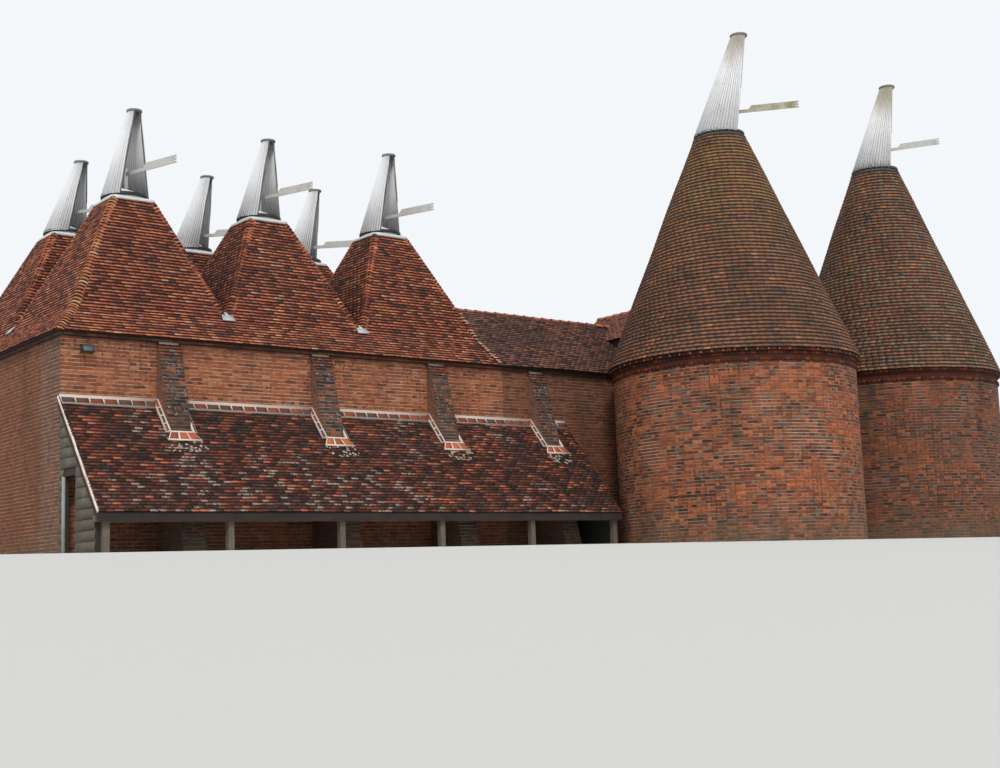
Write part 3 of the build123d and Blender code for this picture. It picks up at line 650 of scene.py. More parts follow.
def tile_slope(heap, origin, along, up, run, left, right, gauge, keep=None, uneven=0.0):
    """Tiles on a flat slope; left and right give the slope's edges as functions of the way up."""
    origin, along, up = (np.array(v, float) for v in (origin, along, up))
    rows = round(run / gauge)
    gauge = run / rows
    every = []
    for row in range(rows):
        low, high = row * gauge, min(row * gauge + gauge + TILE_LAP, run)
        near = min(float(left(low)), float(left(high)))
        far = max(float(right(low)), float(right(high)))
        start = near - TILE_W * (0.5 * (row % 2) + heap.random.random() * 0.12)
        u0 = np.arange(start, far, TILE_W)
        u0 = u0 + heap.random.uniform(-0.002, 0.002, len(u0))
        u1 = u0 + TILE_W - TILE_GAP
        low_v = np.maximum(low + heap.random.uniform(*TILE_SLIP, len(u0)), -0.03)
        foot, head = (float(left(low)), float(right(low))), (float(left(high)), float(right(high)))
        every.append(np.stack([np.clip(u0, *foot), np.clip(u1, *foot), np.clip(u0, *head), np.clip(u1, *head),
                               low_v, np.full(len(u0), high)], 1))
    t = np.concatenate(every)
    t = t[np.maximum(t[:, 1] - t[:, 0], t[:, 3] - t[:, 2]) > TILE_MIN]
    corners = [origin + t[:, i, None] * along + t[:, j, None] * up
               for i, j in ((0, 4), (1, 4), (2, 5), (3, 5))]
    if keep is not None:
        good = keep((corners[0] + corners[3]) / 2)
        corners = [c[good] for c in corners]
    lay_tiles(heap, *corners, np.broadcast_to(np.cross(along, up), corners[0].shape), uneven)


def tile_face(heap, foot, other, other_top, top, gauge, keep=None, uneven=0.0):
    """Tiles on a face with a level foot and head, given by its corners, anticlockwise from outside."""
    along = unit(other - foot)
    side = top - foot
    up = side - along * (side @ along)
    run = np.linalg.norm(up)
    far = (other - foot) @ along
    lean, lean_far = (side @ along) / run, ((other_top - other) @ along) / run
    tile_slope(heap, foot, along, up / run, run, lambda v: v * lean, lambda v: far + v * lean_far, gauge,
               keep, uneven)


def tile_cone(heap, centre, low_r, high_r, low_z, high_z, keep, uneven):
    """Courses of tiles round a cone."""
    rows = round(hypot(high_z - low_z, low_r - high_r) / CONE_GAUGE)
    rise = (high_z - low_z) / rows
    for row in range(rows):
        z0 = low_z + row * rise
        z1 = min(z0 + rise * (1 + TILE_LAP / CONE_GAUGE), high_z)
        r0, r1 = (low_r + (high_r - low_r) * (z - low_z) / (high_z - low_z) for z in (z0, z1))
        count = round(2 * pi * r0 / TILE_W)
        start = 0.5 * (row % 2) + heap.random.random() * 0.2
        a0 = (np.arange(count) + start) * 2 * pi / count
        a1 = a0 + 2 * pi / count - TILE_GAP / r0
        slip = heap.random.uniform(*TILE_SLIP, count)

        def place(angle, r, dz):
            return np.stack([centre.x + r * np.cos(angle), centre.y + r * np.sin(angle),
                             np.broadcast_to(dz, angle.shape)], 1)

        corners = [place(a0, r0, z0 + slip), place(a1, r0, z0 + slip), place(a0, r1, z1), place(a1, r1, z1)]
        good = keep((corners[0] + corners[3]) / 2)
        corners = [c[good] for c in corners]
        normal = np.cross(corners[1] - corners[0], corners[2] + corners[3] - corners[0] - corners[1])
        lay_tiles(heap, *corners, normal / np.linalg.norm(normal, axis=1)[:, None], uneven)


def saddle_tiles(heap, start, end, side_a, side_b, half, spacing, thick=0.014, lift=0.03, steps=6,
                 tail_up=0.040):
    """Saddle-shaped tiles along a hip or ridge: side_a and side_b run down the two slopes from the line."""
    start, end, side_a, side_b = (np.array(v, float) for v in (start, end, side_a, side_b))
    length = np.linalg.norm(end - start)
    way = (end - start) / length
    crown = -unit(side_a + side_b)
    count = max(int(round(length / spacing)), 1)
    share = np.linspace(0, 1, steps + 1)
    ring = 2 * (steps + 1)
    faces, rim = [], []
    for i in range(steps):
        j = steps + 1 + i
        faces += [(j, j + 1, i + 1, i)]
        rim += [(i, ring + i, ring + i + 1, i + 1)[::-1], (j, j + 1, ring + j + 1, ring + j)[::-1]]
    under = [tuple(ring + c for c in face[::-1]) for face in faces]
    rim += [(0, steps + 1, ring + steps + 1, ring)[::-1],
            (steps, ring + steps, ring + 2 * steps + 1, 2 * steps + 1)[::-1]]
    pieces = np.empty((count, 2 * ring, 3))
    for k in range(count):
        tail = start + way * (k * length / count - 0.012 + heap.random.uniform(-0.006, 0.006))
        head = start + way * min((k + 1) * length / count + 0.03, length)
        wide = half * heap.random.uniform(0.92, 1.06)
        for end_no, (base, rise) in enumerate(((tail, tail_up), (head, 0.014))):
            for side_no, shrink in ((0, 0.0), (1, thick)):
                a = base + side_a * wide + crown * (rise - shrink)
                b = base + side_b * wide + crown * (rise - shrink)
                c = base + crown * (rise + lift - shrink)
                curve = ((1 - share) ** 2)[:, None] * a + (2 * share * (1 - share))[:, None] * c \
                    + (share ** 2)[:, None] * b
                at = side_no * ring + end_no * (steps + 1)
                pieces[k, at:at + steps + 1] = curve
    rises = np.tile(np.repeat([0.0, 1.0], steps + 1), 2)
    heap.add(pieces, faces + under + rim, None, rises)


def ring_loft(name, body, slot, finish, rings):
    """A closed skin through rings of as many points, from the first round to the first again."""
    heap = Heap(1)
    steps, count = len(rings[0]), len(rings)
    faces = []
    for i in range(count):
        j = (i + 1) % count
        for k in range(steps):
            m = (k + 1) % steps
            faces.append((i * steps + k, i * steps + m, j * steps + m, j * steps + k))
    heap.add(np.concatenate(rings)[None], faces)
    return heap.make(name, body, slot, finish)


def circle(r, z, steps=48):
    """A level ring of points."""
    angles = np.linspace(0, 2 * pi, steps, endpoint=False)
    return np.stack([r * np.cos(angles), r * np.sin(angles), np.full(steps, z)], 1)


# Square kilns: tiled roofs, flared eaves, hips and lead

CORNERS = ((-1, -1), (1, -1), (1, 1), (-1, 1))
LEVELS = ((1, 0, 0), (0, 1, 0), (-1, 0, 0), (0, -1, 0))


def kiln_corners(name):
    """The corners of a square kiln's roof at its foot and at its kerb, from the front left, anticlockwise."""
    low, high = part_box("kiln_roof_" + name)
    axis = kiln_axis[name]
    foot = [(low.x, low.y), (high.x, low.y), (high.x, high.y), (low.x, high.y)]
    top = [(axis.x + KERB_HALF * dx, axis.y + KERB_HALF * dy) for dx, dy in CORNERS]
    return [np.array((*p, low.z)) for p in foot], [np.array((*p, high.z)) for p in top]


def hip(heap, foot, top, k):
    """Bonnet tiles up the hip of corner k, laid down the two faces that meet there."""
    before, after = tuple(-c for c in LEVELS[k - 1]), LEVELS[k]
    way = unit(top - foot)
    sides = [unit(np.array(level) - way * (np.array(level) @ way)) for level in (before, after)]
    saddle_tiles(heap, foot, top, *sides, BONNET_HALF, BONNET_SPACING, **BONNET_RISE)


def dress_square_kilns():
    """Tiles on the roofs and the flared eaves, bonnet tiles on the hips and lead in the valleys."""
    hips = Heap(21)
    pale = Heap(22)
    for number, name in enumerate(SQUARE_KILNS):
        foot, top = kiln_corners(name)
        heap = Heap(100 + number)
        for k in range(4):
            m = (k + 1) % 4
            tile_face(heap, foot[k], foot[m], top[m], top[k], KILN_GAUGE, uneven=KILN_WAVE)
            hip(pale if name == "front_left" and k == 0 else hips, foot[k], top[k], k)
        heap.make("tiles_" + name, HOUSE, "kiln_tiles", "kiln_tiles")
    eaves = Heap(31)
    low, high = strip_low, strip_high
    plan = ((low.x, low.y), (high.x, low.y), (high.x, high.y), (low.x, high.y))
    foot = [np.array((*p, EAVES_Z)) for p in plan]
    inward = [np.array((-FLARE * dx, -FLARE * dy, BREAK_Z - EAVES_Z)) for dx, dy in CORNERS]
    for k in range(4):
        m = (k + 1) % 4
        tile_face(eaves, foot[k], foot[m], foot[m] + inward[m], foot[k] + inward[k], KILN_GAUGE,
                  lambda p: (p[:, 0] < wall_high.x - 0.02) | outside_range(p), EAVES_WAVE)
        if k in (0, 3):
            hip(pale if k == 0 else hips, foot[k] + (0, 0, 0.01), foot[k] + inward[k], k)
    eaves.make("tiles_eaves", HOUSE, "kiln_tiles", "kiln_tiles")
    hips.make("hip_tiles", HOUSE, "kiln_tiles", "kiln_hips")
    pale.make("pale_hip_tiles", HOUSE, "kiln_tiles", "hip_tiles")
    mortared_hip()
    valley_leads()


def mortared_hip():
    """Old mortar between the bonnet tiles low on the right-hand kiln's right hip."""
    heap = Heap(25)
    foot, top = kiln_corners("front_right")
    low, high = foot[1], foot[1] + (top[1] - foot[1]) * 0.27
    ends = [(np.array((strip_high.x, strip_low.y, EAVES_Z)), low, 0.30, 0.08), (low, high, 0.08, 0.0)]
    for start, end, first, last in ends:
        count = round(np.linalg.norm(end - start) / BONNET_SPACING)
        for k in range(count):
            if heap.random.random() < MORTAR_LOST:
                continue
            share = (k + 0.5) / count
            at = start + (end - start) * share + heap.random.uniform(-0.015, 0.015, 3)
            at[0] -= first + (last - first) * share
            wide = heap.random.uniform(0.045, 0.075)
            face = [(-wide, -0.078, 0.038), (wide * 0.8, -0.078, 0.032), (wide * 0.9, -0.070, 0.050),
                    (-wide * 0.8, -0.070, 0.054)]
            heap.prism([at + p for p in face], (0.01, 0.05, 0.006))
    heap.make("hip_mortar", HOUSE, "kiln_tiles", "hip_mortar")


def outside_range(p):
    """True for places in front of the range or behind it."""
    return (p[:, 1] < -EDGE + 0.02) | (p[:, 1] > strip_high.y - 0.02)


def valley_leads():
    """Small lead saddles where the valleys between the kilns meet the flared eaves."""
    heap = Heap(24)
    spots = [((BREAK_X + MODULE * i, BREAK_X, BREAK_Z), (1, 0), (0, -1)) for i in (1, 2)]
    spots += [((BREAK_X, BREAK_X + MODULE, BREAK_Z), (0, 1), (-1, 0))]
    for place, along, out in spots:
        place = np.array(place)
        along, out, up = np.array((*along, 0.0)), np.array((*out, 0.0)), np.array((0, 0, 1.0))
        back = place - out * 0.10 + up * 0.17
        front = place + out * 0.03 + up * 0.055
        lip = place + out * 0.12 - up * 0.045
        for a, b, wide_a, wide_b in ((back, front, 0.075, 0.13), (front, lip, 0.13, 0.15)):
            heap.prism([a - along * wide_a, a + along * wide_a, b + along * wide_b, b - along * wide_b],
                       up * 0.012 + out * 0.006)
    heap.make("valley_leads", HOUSE, "lead", "lead")


# Range: tiled slopes, ridges, verges and the cross roof

def cone_radius(name, z):
    """How far a round kiln's roof reaches from its axis at a height."""
    edge = round_radius(name) + CONE_OUT
    top_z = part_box(name + "_roof")[1].z
    return edge + (CONE_TOP_R - edge) * (z - CONE_Z) / (top_z - CONE_Z)


def clear_of_kilns(p, margin=0.03):
    """True for places outside the round kilns' roofs and the square block's right-hand roofs."""
    good = np.ones(len(p), bool)
    for name in ROUND_KILNS:
        axis = kiln_axis[name]
        good &= np.hypot(p[:, 0] - axis.x, p[:, 1] - axis.y) > cone_radius(name, p[:, 2]) - margin
    slope = FLARE / (BREAK_Z - EAVES_Z)
    good &= (p[:, 0] > strip_high.x - (p[:, 2] - EAVES_Z) * slope - margin) | (p[:, 2] > BREAK_Z)
    for name in ("front_right", "back_right"):
        foot, top = kiln_corners(name)
        share = (p[:, 2] - foot[0][2]) / (top[0][2] - foot[0][2])
        right = foot[1][0] + (top[1][0] - foot[1][0]) * share
        front = foot[0][1] + (top[0][1] - foot[0][1]) * share
        back = foot[2][1] + (top[2][1] - foot[2][1]) * share
        inside = (p[:, 0] < right + margin) & (p[:, 1] > front - margin) & (p[:, 1] < back + margin)
        good &= ~inside | (p[:, 2] < BREAK_Z)
    return good


def dress_range():
    """Tiles on the range's four slopes and its cross roof, ridge tiles and the gable's verge boards."""
    ridges = [-EDGE + QUARTER, -EDGE + 3 * QUARTER]
    run = hypot(QUARTER, RANGE_RISE)
    up_y, up_z = QUARTER / run, RANGE_RISE / run
    start_x, end_x = range_low.x, range_high.x
    cross_low, cross_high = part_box("cross_roof")
    cross_x = (cross_low.x + cross_high.x) / 2

    def keep(p):
        under_cross = abs(p[:, 0] - cross_x) < CROSS_HALF - CROSS_SOFFIT - 0.05
        return clear_of_kilns(p) & ~(under_cross & (p[:, 1] < ridges[0] + 0.4))

    for number, ridge in enumerate(ridges):
        for side, name in ((-1, "front"), (1, "back")):
            heap = Heap(200 + number * 2 + side)
            corner = (start_x if side < 0 else end_x, ridge + side * QUARTER, EAVES_Z)
            tile_slope(heap, corner, (-side, 0, 0), (0, -side * up_y, up_z), run, lambda v: 0.0,
                       lambda v: end_x - start_x, RANGE_GAUGE, keep, RANGE_WAVE)
            heap.make("tiles_range_%d_%s" % (number + 1, name), HOUSE, "range_tiles", "range_tiles")
    ridge_line = Heap(41)
    lengths = 8
    along = np.linspace(strip_high.x - EDGE - 0.45, end_x, lengths + 1)
    for ridge in ridges:
        top = []
        for i, x in enumerate(along):
            sag = RIDGE_SAG * sin(pi * i / lengths)
            top.append(np.array((x, ridge, EAVES_Z + RANGE_RISE + RIDGE_UP - sag + RIDGE_STEP * (i % 2))))
        for a, b in zip(top[:-1], top[1:]):
            saddle_tiles(ridge_line, a, b, (0, -up_y, -up_z), (0, up_y, -up_z), RIDGE_HALF, **RIDGE_TILE)
    dress_cross_roof(ridge_line, cross_x)
    ridge_line.make("ridge_tiles", HOUSE, "range_tiles", "ridge_tiles")
    verge = Heap(43)
    for ridge in ridges:
        for side in (-1, 1):
            low_y = ridge + side * QUARTER * 0.985
            for x, low_z, high_z in ((end_x, 0.060, 0.005), (end_x + 0.012, -0.100, -0.155)):
                verge.bar((x, low_y, EAVES_Z + low_z), (x, ridge, EAVES_Z + RANGE_RISE + high_z), (0, 0, 1),
                          VERGE_BOARD_H, VERGE_BOARD_T, tone=0.3)
    verge.make("verge_boards", HOUSE, "timber", "timber")


def dress_cross_roof(ridge_line, cross_x):
    """Tiles on the small roof that runs from the range to the near round kiln."""
    heap = Heap(51)
    low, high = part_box("cross_roof")
    run = hypot(CROSS_HALF, CROSS_RISE)
    up_x, up_z = CROSS_HALF / run, CROSS_RISE / run
    length = high.y - low.y

    def keep(p):
        slope = EAVES_Z + (QUARTER - abs(p[:, 1] - (QUARTER - EDGE))) * RANGE_RISE / QUARTER
        return clear_of_kilns(p) & (p[:, 2] > slope - 0.02)

    for side in (-1, 1):
        corner = (cross_x + side * CROSS_HALF, high.y if side < 0 else low.y, CROSS_EAVES)
        tile_slope(heap, corner, (0, side, 0), (-side * up_x, 0, up_z), run, lambda v: 0.0, lambda v: length,
                   RANGE_GAUGE, keep, CROSS_WAVE)
    heap.make("tiles_cross_roof", HOUSE, "range_tiles", "cross_tiles")
    near = kiln_axis["round_near"]
    top = CROSS_EAVES + CROSS_RISE
    reach = sqrt(max(cone_radius("round_near", top) ** 2 - (cross_x - near.x) ** 2, 0.0))
    start, end = ((cross_x, y, top + RIDGE_UP) for y in (high.y, near.y + reach - 0.1))
    saddle_tiles(ridge_line, start, end, (-up_x, 0, -up_z), (up_x, 0, -up_z), 0.12, **RIDGE_TILE)


# Round kilns: cone tiles and corbel bricks

def brick_ring(heap, name, proud, low_z, high_z, count, gap=0.010):
    """Header bricks laid side by side round a kiln."""
    axis, r = kiln_axis[name], round_radius(name) + proud
    angles = (np.arange(count) + heap.random.random()) * 2 * pi / count
    out = []
    for angle in angles:
        if axis.y + r * sin(angle) > -FACE - 0.05:
            continue
        half = pi / count - gap / 2 / r
        push = heap.random.uniform(0.0, 0.006)
        corners = [(r - 0.04, -half), (r + 0.005 + push, -half), (r + 0.005 + push, half), (r - 0.04, half)]
        plan = [(axis.x + far * cos(angle + turn), axis.y + far * sin(angle + turn)) for far, turn in corners]
        out.append([(x, y, low_z) for x, y in plan] + [(x, y, high_z) for x, y in plan])
    heap.add(np.array(out), BOX_FACES)


def dress_round_kilns():
    """Tiles round the cones and header bricks on the corbels."""
    corbels, dabs = Heap(71), Heap(74)
    for number, name in enumerate(ROUND_KILNS):
        heap = Heap(300 + number)
        top_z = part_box(name + "_roof")[1].z
        tile_cone(heap, kiln_axis[name], cone_radius(name, CONE_Z), CONE_TOP_R, CONE_Z, top_z,
                  lambda p: p[:, 1] < -FACE, CONE_WAVE)
        heap.make("tiles_" + name, HOUSE, "cone_tiles", "cone_near" if name == "round_near" else "cone_far")
        low_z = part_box(name + "_corbel")[0].z
        count = round(2 * pi * round_radius(name) / HEADER_SPACING)
        (lower, upper), bed = CORBEL_STEPS, 0.006
        brick_ring(corbels, name, lower, low_z + bed, low_z + COURSE - bed, count)
        brick_ring(corbels, name, upper, CONE_Z - COURSE + bed, CONE_Z - bed, count)
        if name == "round_near":
            brick_ring(corbels, name, 0.022, CONE_Z - 2 * COURSE + bed, CONE_Z - COURSE - bed, count)
            brick_ring(dabs, name, upper + 0.002, CONE_Z - COURSE + 0.016, CONE_Z - 0.022, count // 2,
                       DAB_GAP)
    corbels.make("corbel_bricks", HOUSE, "round_brick", "corbel_brick")
    dabs.make("corbel_joints", HOUSE, "round_brick", "grey_mortar")


# Lean-to: tiles, creasing against the wall and the buttresses, verge and boards

LEAN_RISE, LEAN_DEPTH = lean_high.z - lean_low.z - LEAN_T, lean_high.y - lean_low.y
SLOPE_RUN = hypot(LEAN_RISE, LEAN_DEPTH)
SLOPE_UP = np.array((0, LEAN_DEPTH / SLOPE_RUN, LEAN_RISE / SLOPE_RUN))
SLOPE_OUT = np.array((0, -SLOPE_UP[2], SLOPE_UP[1]))


def buttress_y(z):
    """Where the battered front of the buttresses is at a height."""
    return -(FACE + HEAD_DEPTH + BATTER * (HEAD_Z - z))


WALL_CREASING = {"up": 0.036, "out": 0.235, "pitch": 0.275, "ledge": 0.085}
SIDE_CREASING = {"up": 0.050, "out": 0.105, "pitch": 0.22, "ledge": 0.030}
CREASING_LIFT, FOOT_EDGE = 0.052, 0.028


def fillet(mortar, tiles, start, end, on_wall, on_roof, up, out, pitch, ledge):
    """A mortar fillet in the corner between a wall and the roof, with tiles bedded along it.

    It reaches up the wall and out on the roof; pitch is the tiles' spacing, ledge the mortar above them."""
    start, end, on_wall, on_roof = (np.array(v, float) for v in (start, end, on_wall, on_roof))
    length = np.linalg.norm(end - start)
    way = (end - start) / length
    high, low = start + on_wall * up, start + on_roof * out
    mortar.prism([start - (on_wall + on_roof) * 0.02, low, high], end - start, 0.5)
    across = unit(high - low)
    face = np.cross(way, across)
    face = face if face @ (on_wall + on_roof) > 0 else -face
    count = max(round(length / pitch), 1)
    edge, gap = 0.030, 0.028
    for k in range(count):
        a = way * (k * length / count + gap / 2)
        b = way * ((k + 1) * length / count - gap / 2)
        foot, head = low + across * (edge + ledge * 0.3), high - across * ledge
        tiles.prism([foot + a, foot + b, head + b, head + a], face * tiles.random.uniform(0.002, 0.006))


def foot_band(mortar, tiles, x, level, down):
    """Three tiles in mortar under a buttress, spreading out as they come down the roof."""
    fan, fall, rise = 0.125, 0.235, SLOPE_OUT * 0.030

    def at(share, drop):
        spread = fan * drop / fall
        return level + (x - spread + (BUTTRESS_W + 2 * spread) * share, 0, 0) + down * drop

    mortar.prism([at(0, -0.02), at(0, fall), at(1, fall), at(1, -0.02)], rise, 0.5)
    for k in range(3):
        low, high = k / 3 + FOOT_EDGE, (k + 1) / 3 - FOOT_EDGE
        tiles.prism([at(low, 0.026) + rise, at(low, fall - 0.030) + rise, at(high, fall - 0.030) + rise,
                     at(high, 0.026) + rise], SLOPE_OUT * 0.005)


def dress_lean_to():
    """Tiles on the lean-to, kept clear of the buttresses, and all that edges them."""
    heap = Heap(61)

    def keep(p):
        good = np.ones(len(p), bool)
        for x in BUTTRESS_X:
            beside = (p[:, 0] > x - 0.02) & (p[:, 0] < x + BUTTRESS_W + 0.02)
            good &= ~(beside & (p[:, 1] > buttress_y(p[:, 2])))
        return good

    tile_slope(heap, (lean_low.x, lean_low.y, lean_low.z + LEAN_T), (1, 0, 0), SLOPE_UP, SLOPE_RUN,
               lambda v: 0.0, lambda v: lean_high.x - lean_low.x, LEAN_GAUGE, keep, LEAN_WAVE)
    heap.make("tiles_lean_to", HOUSE, "lean_to_tiles", "lean_to_tiles")
    dress_creasing()
    dress_verge()
    dress_left_end()


def dress_creasing():
    """Fillets of mortar and tile along the wall and the buttresses, and lumps of mortar under them."""
    mortar, tiles, feet, blobs = Heap(62), Heap(63), Heap(64), Heap(65)
    lift = SLOPE_OUT * CREASING_LIFT
    top = lean_high.z
    down = -SLOPE_UP
    starts = [lean_low.x + 0.02] + [x + BUTTRESS_W for x in BUTTRESS_X]
    ends = list(BUTTRESS_X) + [lean_high.x]
    for a, b in zip(starts, ends):
        start, end = (np.array((x, -FACE, top)) + lift for x in (a, b))
        fillet(mortar, tiles, start, end, (0, 0, 1), down, **WALL_CREASING)
    for x in BUTTRESS_X:
        foot_z = top - (HEAD_DEPTH + BATTER * (HEAD_Z - top)) / (SLOPE_UP[1] / SLOPE_UP[2] - BATTER)
        foot_y = buttress_y(foot_z)
        for edge, side in ((x, -1), (x + BUTTRESS_W, 1)):
            start, end = (np.array((edge, *p)) + lift for p in ((-FACE, top), (foot_y, foot_z)))
            fillet(mortar, tiles, start, end, SLOPE_OUT, (side, 0, 0), **SIDE_CREASING)
        foot_band(mortar, feet, x, np.array((0, foot_y, foot_z)) + lift, down)
        for _ in range(LUMPS_EACH):
            at = np.array((x + feet.random.uniform(-0.10, 0.66), foot_y, foot_z)) + lift * 0.9
            at = at + down * feet.random.uniform(0.24, 0.54)
            blobs.lump(at, SLOPE_OUT, feet.random.uniform(0.012, 0.040))
    mortar.make("creasing_mortar", HOUSE, "lean_to_tiles", "mortar")
    tiles.make("creasing_tiles", HOUSE, "lean_to_tiles", "crease_tiles")
    feet.make("creasing_foot_tiles", HOUSE, "lean_to_tiles", "foot_tiles")
    dress_buttresses(blobs)
    blobs.make("mortar_lumps", HOUSE, "buttress_brick", "grey_mortar")


def dress_buttresses(blobs):
    """Tiles and a mortar cap on the sloping heads, and lumps of old mortar on the fronts."""
    heads, caps = Heap(66), Heap(67)
    top_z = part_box("buttresses")[1].z
    up = unit((0, HEAD_DEPTH, top_z - HEAD_Z))
    run = hypot(HEAD_DEPTH, top_z - HEAD_Z)
    for x in BUTTRESS_X:
        foot = (x - 0.015, -FACE - HEAD_DEPTH - up[1] * 0.02, HEAD_Z - up[2] * 0.02)
        tile_slope(heads, foot, (1, 0, 0), up, run - 0.05, lambda v: 0.0, lambda v: BUTTRESS_W + 0.03,
                   HEAD_GAUGE, None, HEAD_WAVE)
        out = np.array((0, -up[2], up[1]))
        high = np.array((x + 0.03, -FACE, top_z))
        caps.prism([high + (0, 0, -0.002), high - up * 0.075 + out * 0.030, high - up * 0.02 + out * 0.036],
                   (BUTTRESS_W - 0.06, 0, 0))
        for _ in range(LUMPS_EACH):
            z = blobs.random.uniform(2.9, 4.05)
            blobs.lump((x + blobs.random.uniform(0.03, BUTTRESS_W - 0.03), buttress_y(z), z), (0, -1, BATTER),
                       blobs.random.uniform(0.007, 0.020))
    heads.make("buttress_head_tiles", HOUSE, "buttress_brick", "head_tiles")
    caps.make("buttress_mortar_caps", HOUSE, "buttress_brick", "grey_mortar")


def dress_verge():
    """The mortar line up the lean-to's left verge and the undercloak tiles below it."""
    line, cloak = Heap(68), Heap(69)
    foot = np.array((lean_low.x, lean_low.y, lean_low.z + LEAN_T))
    lengths = 11
    for k in range(lengths):
        a, b = (foot + SLOPE_UP * SLOPE_RUN * n / lengths for n in (k, k + 1))
        shift = np.array((line.random.uniform(-0.004, 0.004), 0, 0))
        outer, inner = a + shift + (-0.010, 0, 0), a + shift + (0.016, 0, 0)
        line.prism([outer, outer + SLOPE_OUT * 0.046, inner + SLOPE_OUT * 0.046, inner], b - a)
    edge = foot - SLOPE_OUT * 0.012
    cloak.bar(edge, edge + SLOPE_UP * SLOPE_RUN, SLOPE_OUT, 0.020, 0.018)
    line.make("verge_mortar", HOUSE, "lean_to_tiles", "mortar")
    cloak.make("verge_undercloak", HOUSE, "lean_to_tiles", "crease_tiles")


def dress_left_end():
    """Lapped boards on the lean-to's ends, with the left doorway's frame."""
    boards, frame_bars = Heap(72), Heap(73)
    low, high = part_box("lean_to_left_end")
    right_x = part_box("lean_to_right_end")[1].x
    for face_x, out, door in ((low.x, -1, True), (right_x, 1, False)):
        z = 0.02
        while z < high.z - 0.05:
            top = z + LAPPED_PITCH + LAPPED_OVER
            spans = [(low.y + 0.01, high.y - 0.01)]
            if door and z < DOOR_H:
                spans = [(low.y + 0.01, DOOR_Y[0] - 0.02), (DOOR_Y[1] + 0.02, high.y - 0.01)]
            for y0, y1 in spans:
                ends = []
                for level in (z, top):
                    limit = (level + LEAN_T + 0.012 - lean_high.z) / (SLOPE_UP[2] / SLOPE_UP[1]) - FACE
                    ends.append((max(y0, limit), y1))
                if ends[0][0] > y1 - 0.03 or ends[1][0] > y1 - 0.01:
                    continue
                near, far = 0.022 + boards.random.uniform(-0.002, 0.003), 0.008
                boards.prism([(face_x + out * near, ends[0][0], z), (face_x + out * near, ends[0][1], z),
                              (face_x + out * far, ends[1][1], top), (face_x + out * far, ends[1][0], top)],
                             (-out * 0.010, 0, 0.001))
            z += LAPPED_PITCH
    frame_bars.bar((low.x - 0.006, DOOR_Y[1] + 0.02, 0), (low.x - 0.006, DOOR_Y[1] + 0.02, DOOR_H), (0, 1, 0),
                   0.060, 0.05)
    boards.make("weatherboards", HOUSE, "weatherboard", "weatherboard")
    frame_bars.make("door_frame", HOUSE, "weatherboard", "pale_post")


def dress_doorways():
    """Timber lintels and frames of the back doorways."""
    heap = Heap(81)
    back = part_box("range_back_wall")[1].y - 0.04
    lintel = (back - 0.085, BACK_DOOR_H + 0.075)
    for x in BACK_DOORS:
        heap.bar((x - DOOR_HALF - 0.2, *lintel), (x + DOOR_HALF + 0.2, *lintel), (0, 0, 1), 0.15, 0.19, 0.010)
        for side in (-1, 1):
            post = (x + side * (DOOR_HALF - 0.035), back - 0.13)
            heap.bar((*post, 0), (*post, BACK_DOOR_H), (1, 0, 0), 0.07, 0.10)
    heap.make("door_timbers", HOUSE, "timber", "timber")


def dress_wall_light():
    """The frame and glass of the small light near the left corner."""
    case, glass = Heap(82), Heap(83)
    low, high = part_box("wall_light")
    top_out, front = high.y - 0.060, low.y
    inset = 0.018
    down = unit((0, front - top_out, low.z - high.z))
    out = np.array((0, down[2], -down[1]))
    a, b = np.array((low.x, top_out, high.z)), np.array((low.x, front, low.z))
    wide = np.array((high.x - low.x, 0, 0))
    tall = np.linalg.norm(b - a)
    high_edge, low_edge = a + down * inset, a + down * (tall - inset)
    glass.prism([high_edge + wide * 0.07, high_edge + wide * 0.93, low_edge + wide * 0.93,
                 low_edge + wide * 0.07], out * 0.006)
    for start in (a + down * 0.012, b - down * 0.012):
        case.bar(start + out * 0.001, start + wide + out * 0.001, down, 0.024, 0.018)
    for share in (0.05, 0.95):
        case.bar(a + wide * share + out * 0.001, b + wide * share + out * 0.001, (1, 0, 0), 0.022, 0.018)
    case.prism([(low.x, high.y, high.z), (low.x, top_out - 0.012, high.z - 0.003),
                (high.x, top_out - 0.012, high.z - 0.003), (high.x, high.y, high.z)], (0, 0, 0.008))
    case.make("light_case", HOUSE, "lamp_metal", "lamp_case")
    glass.make("light_glass", HOUSE, "lamp_metal", "lamp_glass")


# Cowls: boards, rim, cap, stock and lead skirts

def moved(points, matrix):
    """Points of a cowl's own space in the frame."""
    m = np.array(matrix)
    return np.array(points) @ m[:3, :3].T + m[:3, 3]


def cut(outline, line):
    """The part of a flat outline behind a plane; line gives the distance in front of it."""
    out = []
    for i, p in enumerate(outline):
        q = outline[(i + 1) % len(outline)]
        a, b = line(p), line(q)
        if a <= 0:
            out.append(p)
        if a * b < 0:
            out.append(p + (q - p) * a / (a - b))
    return out


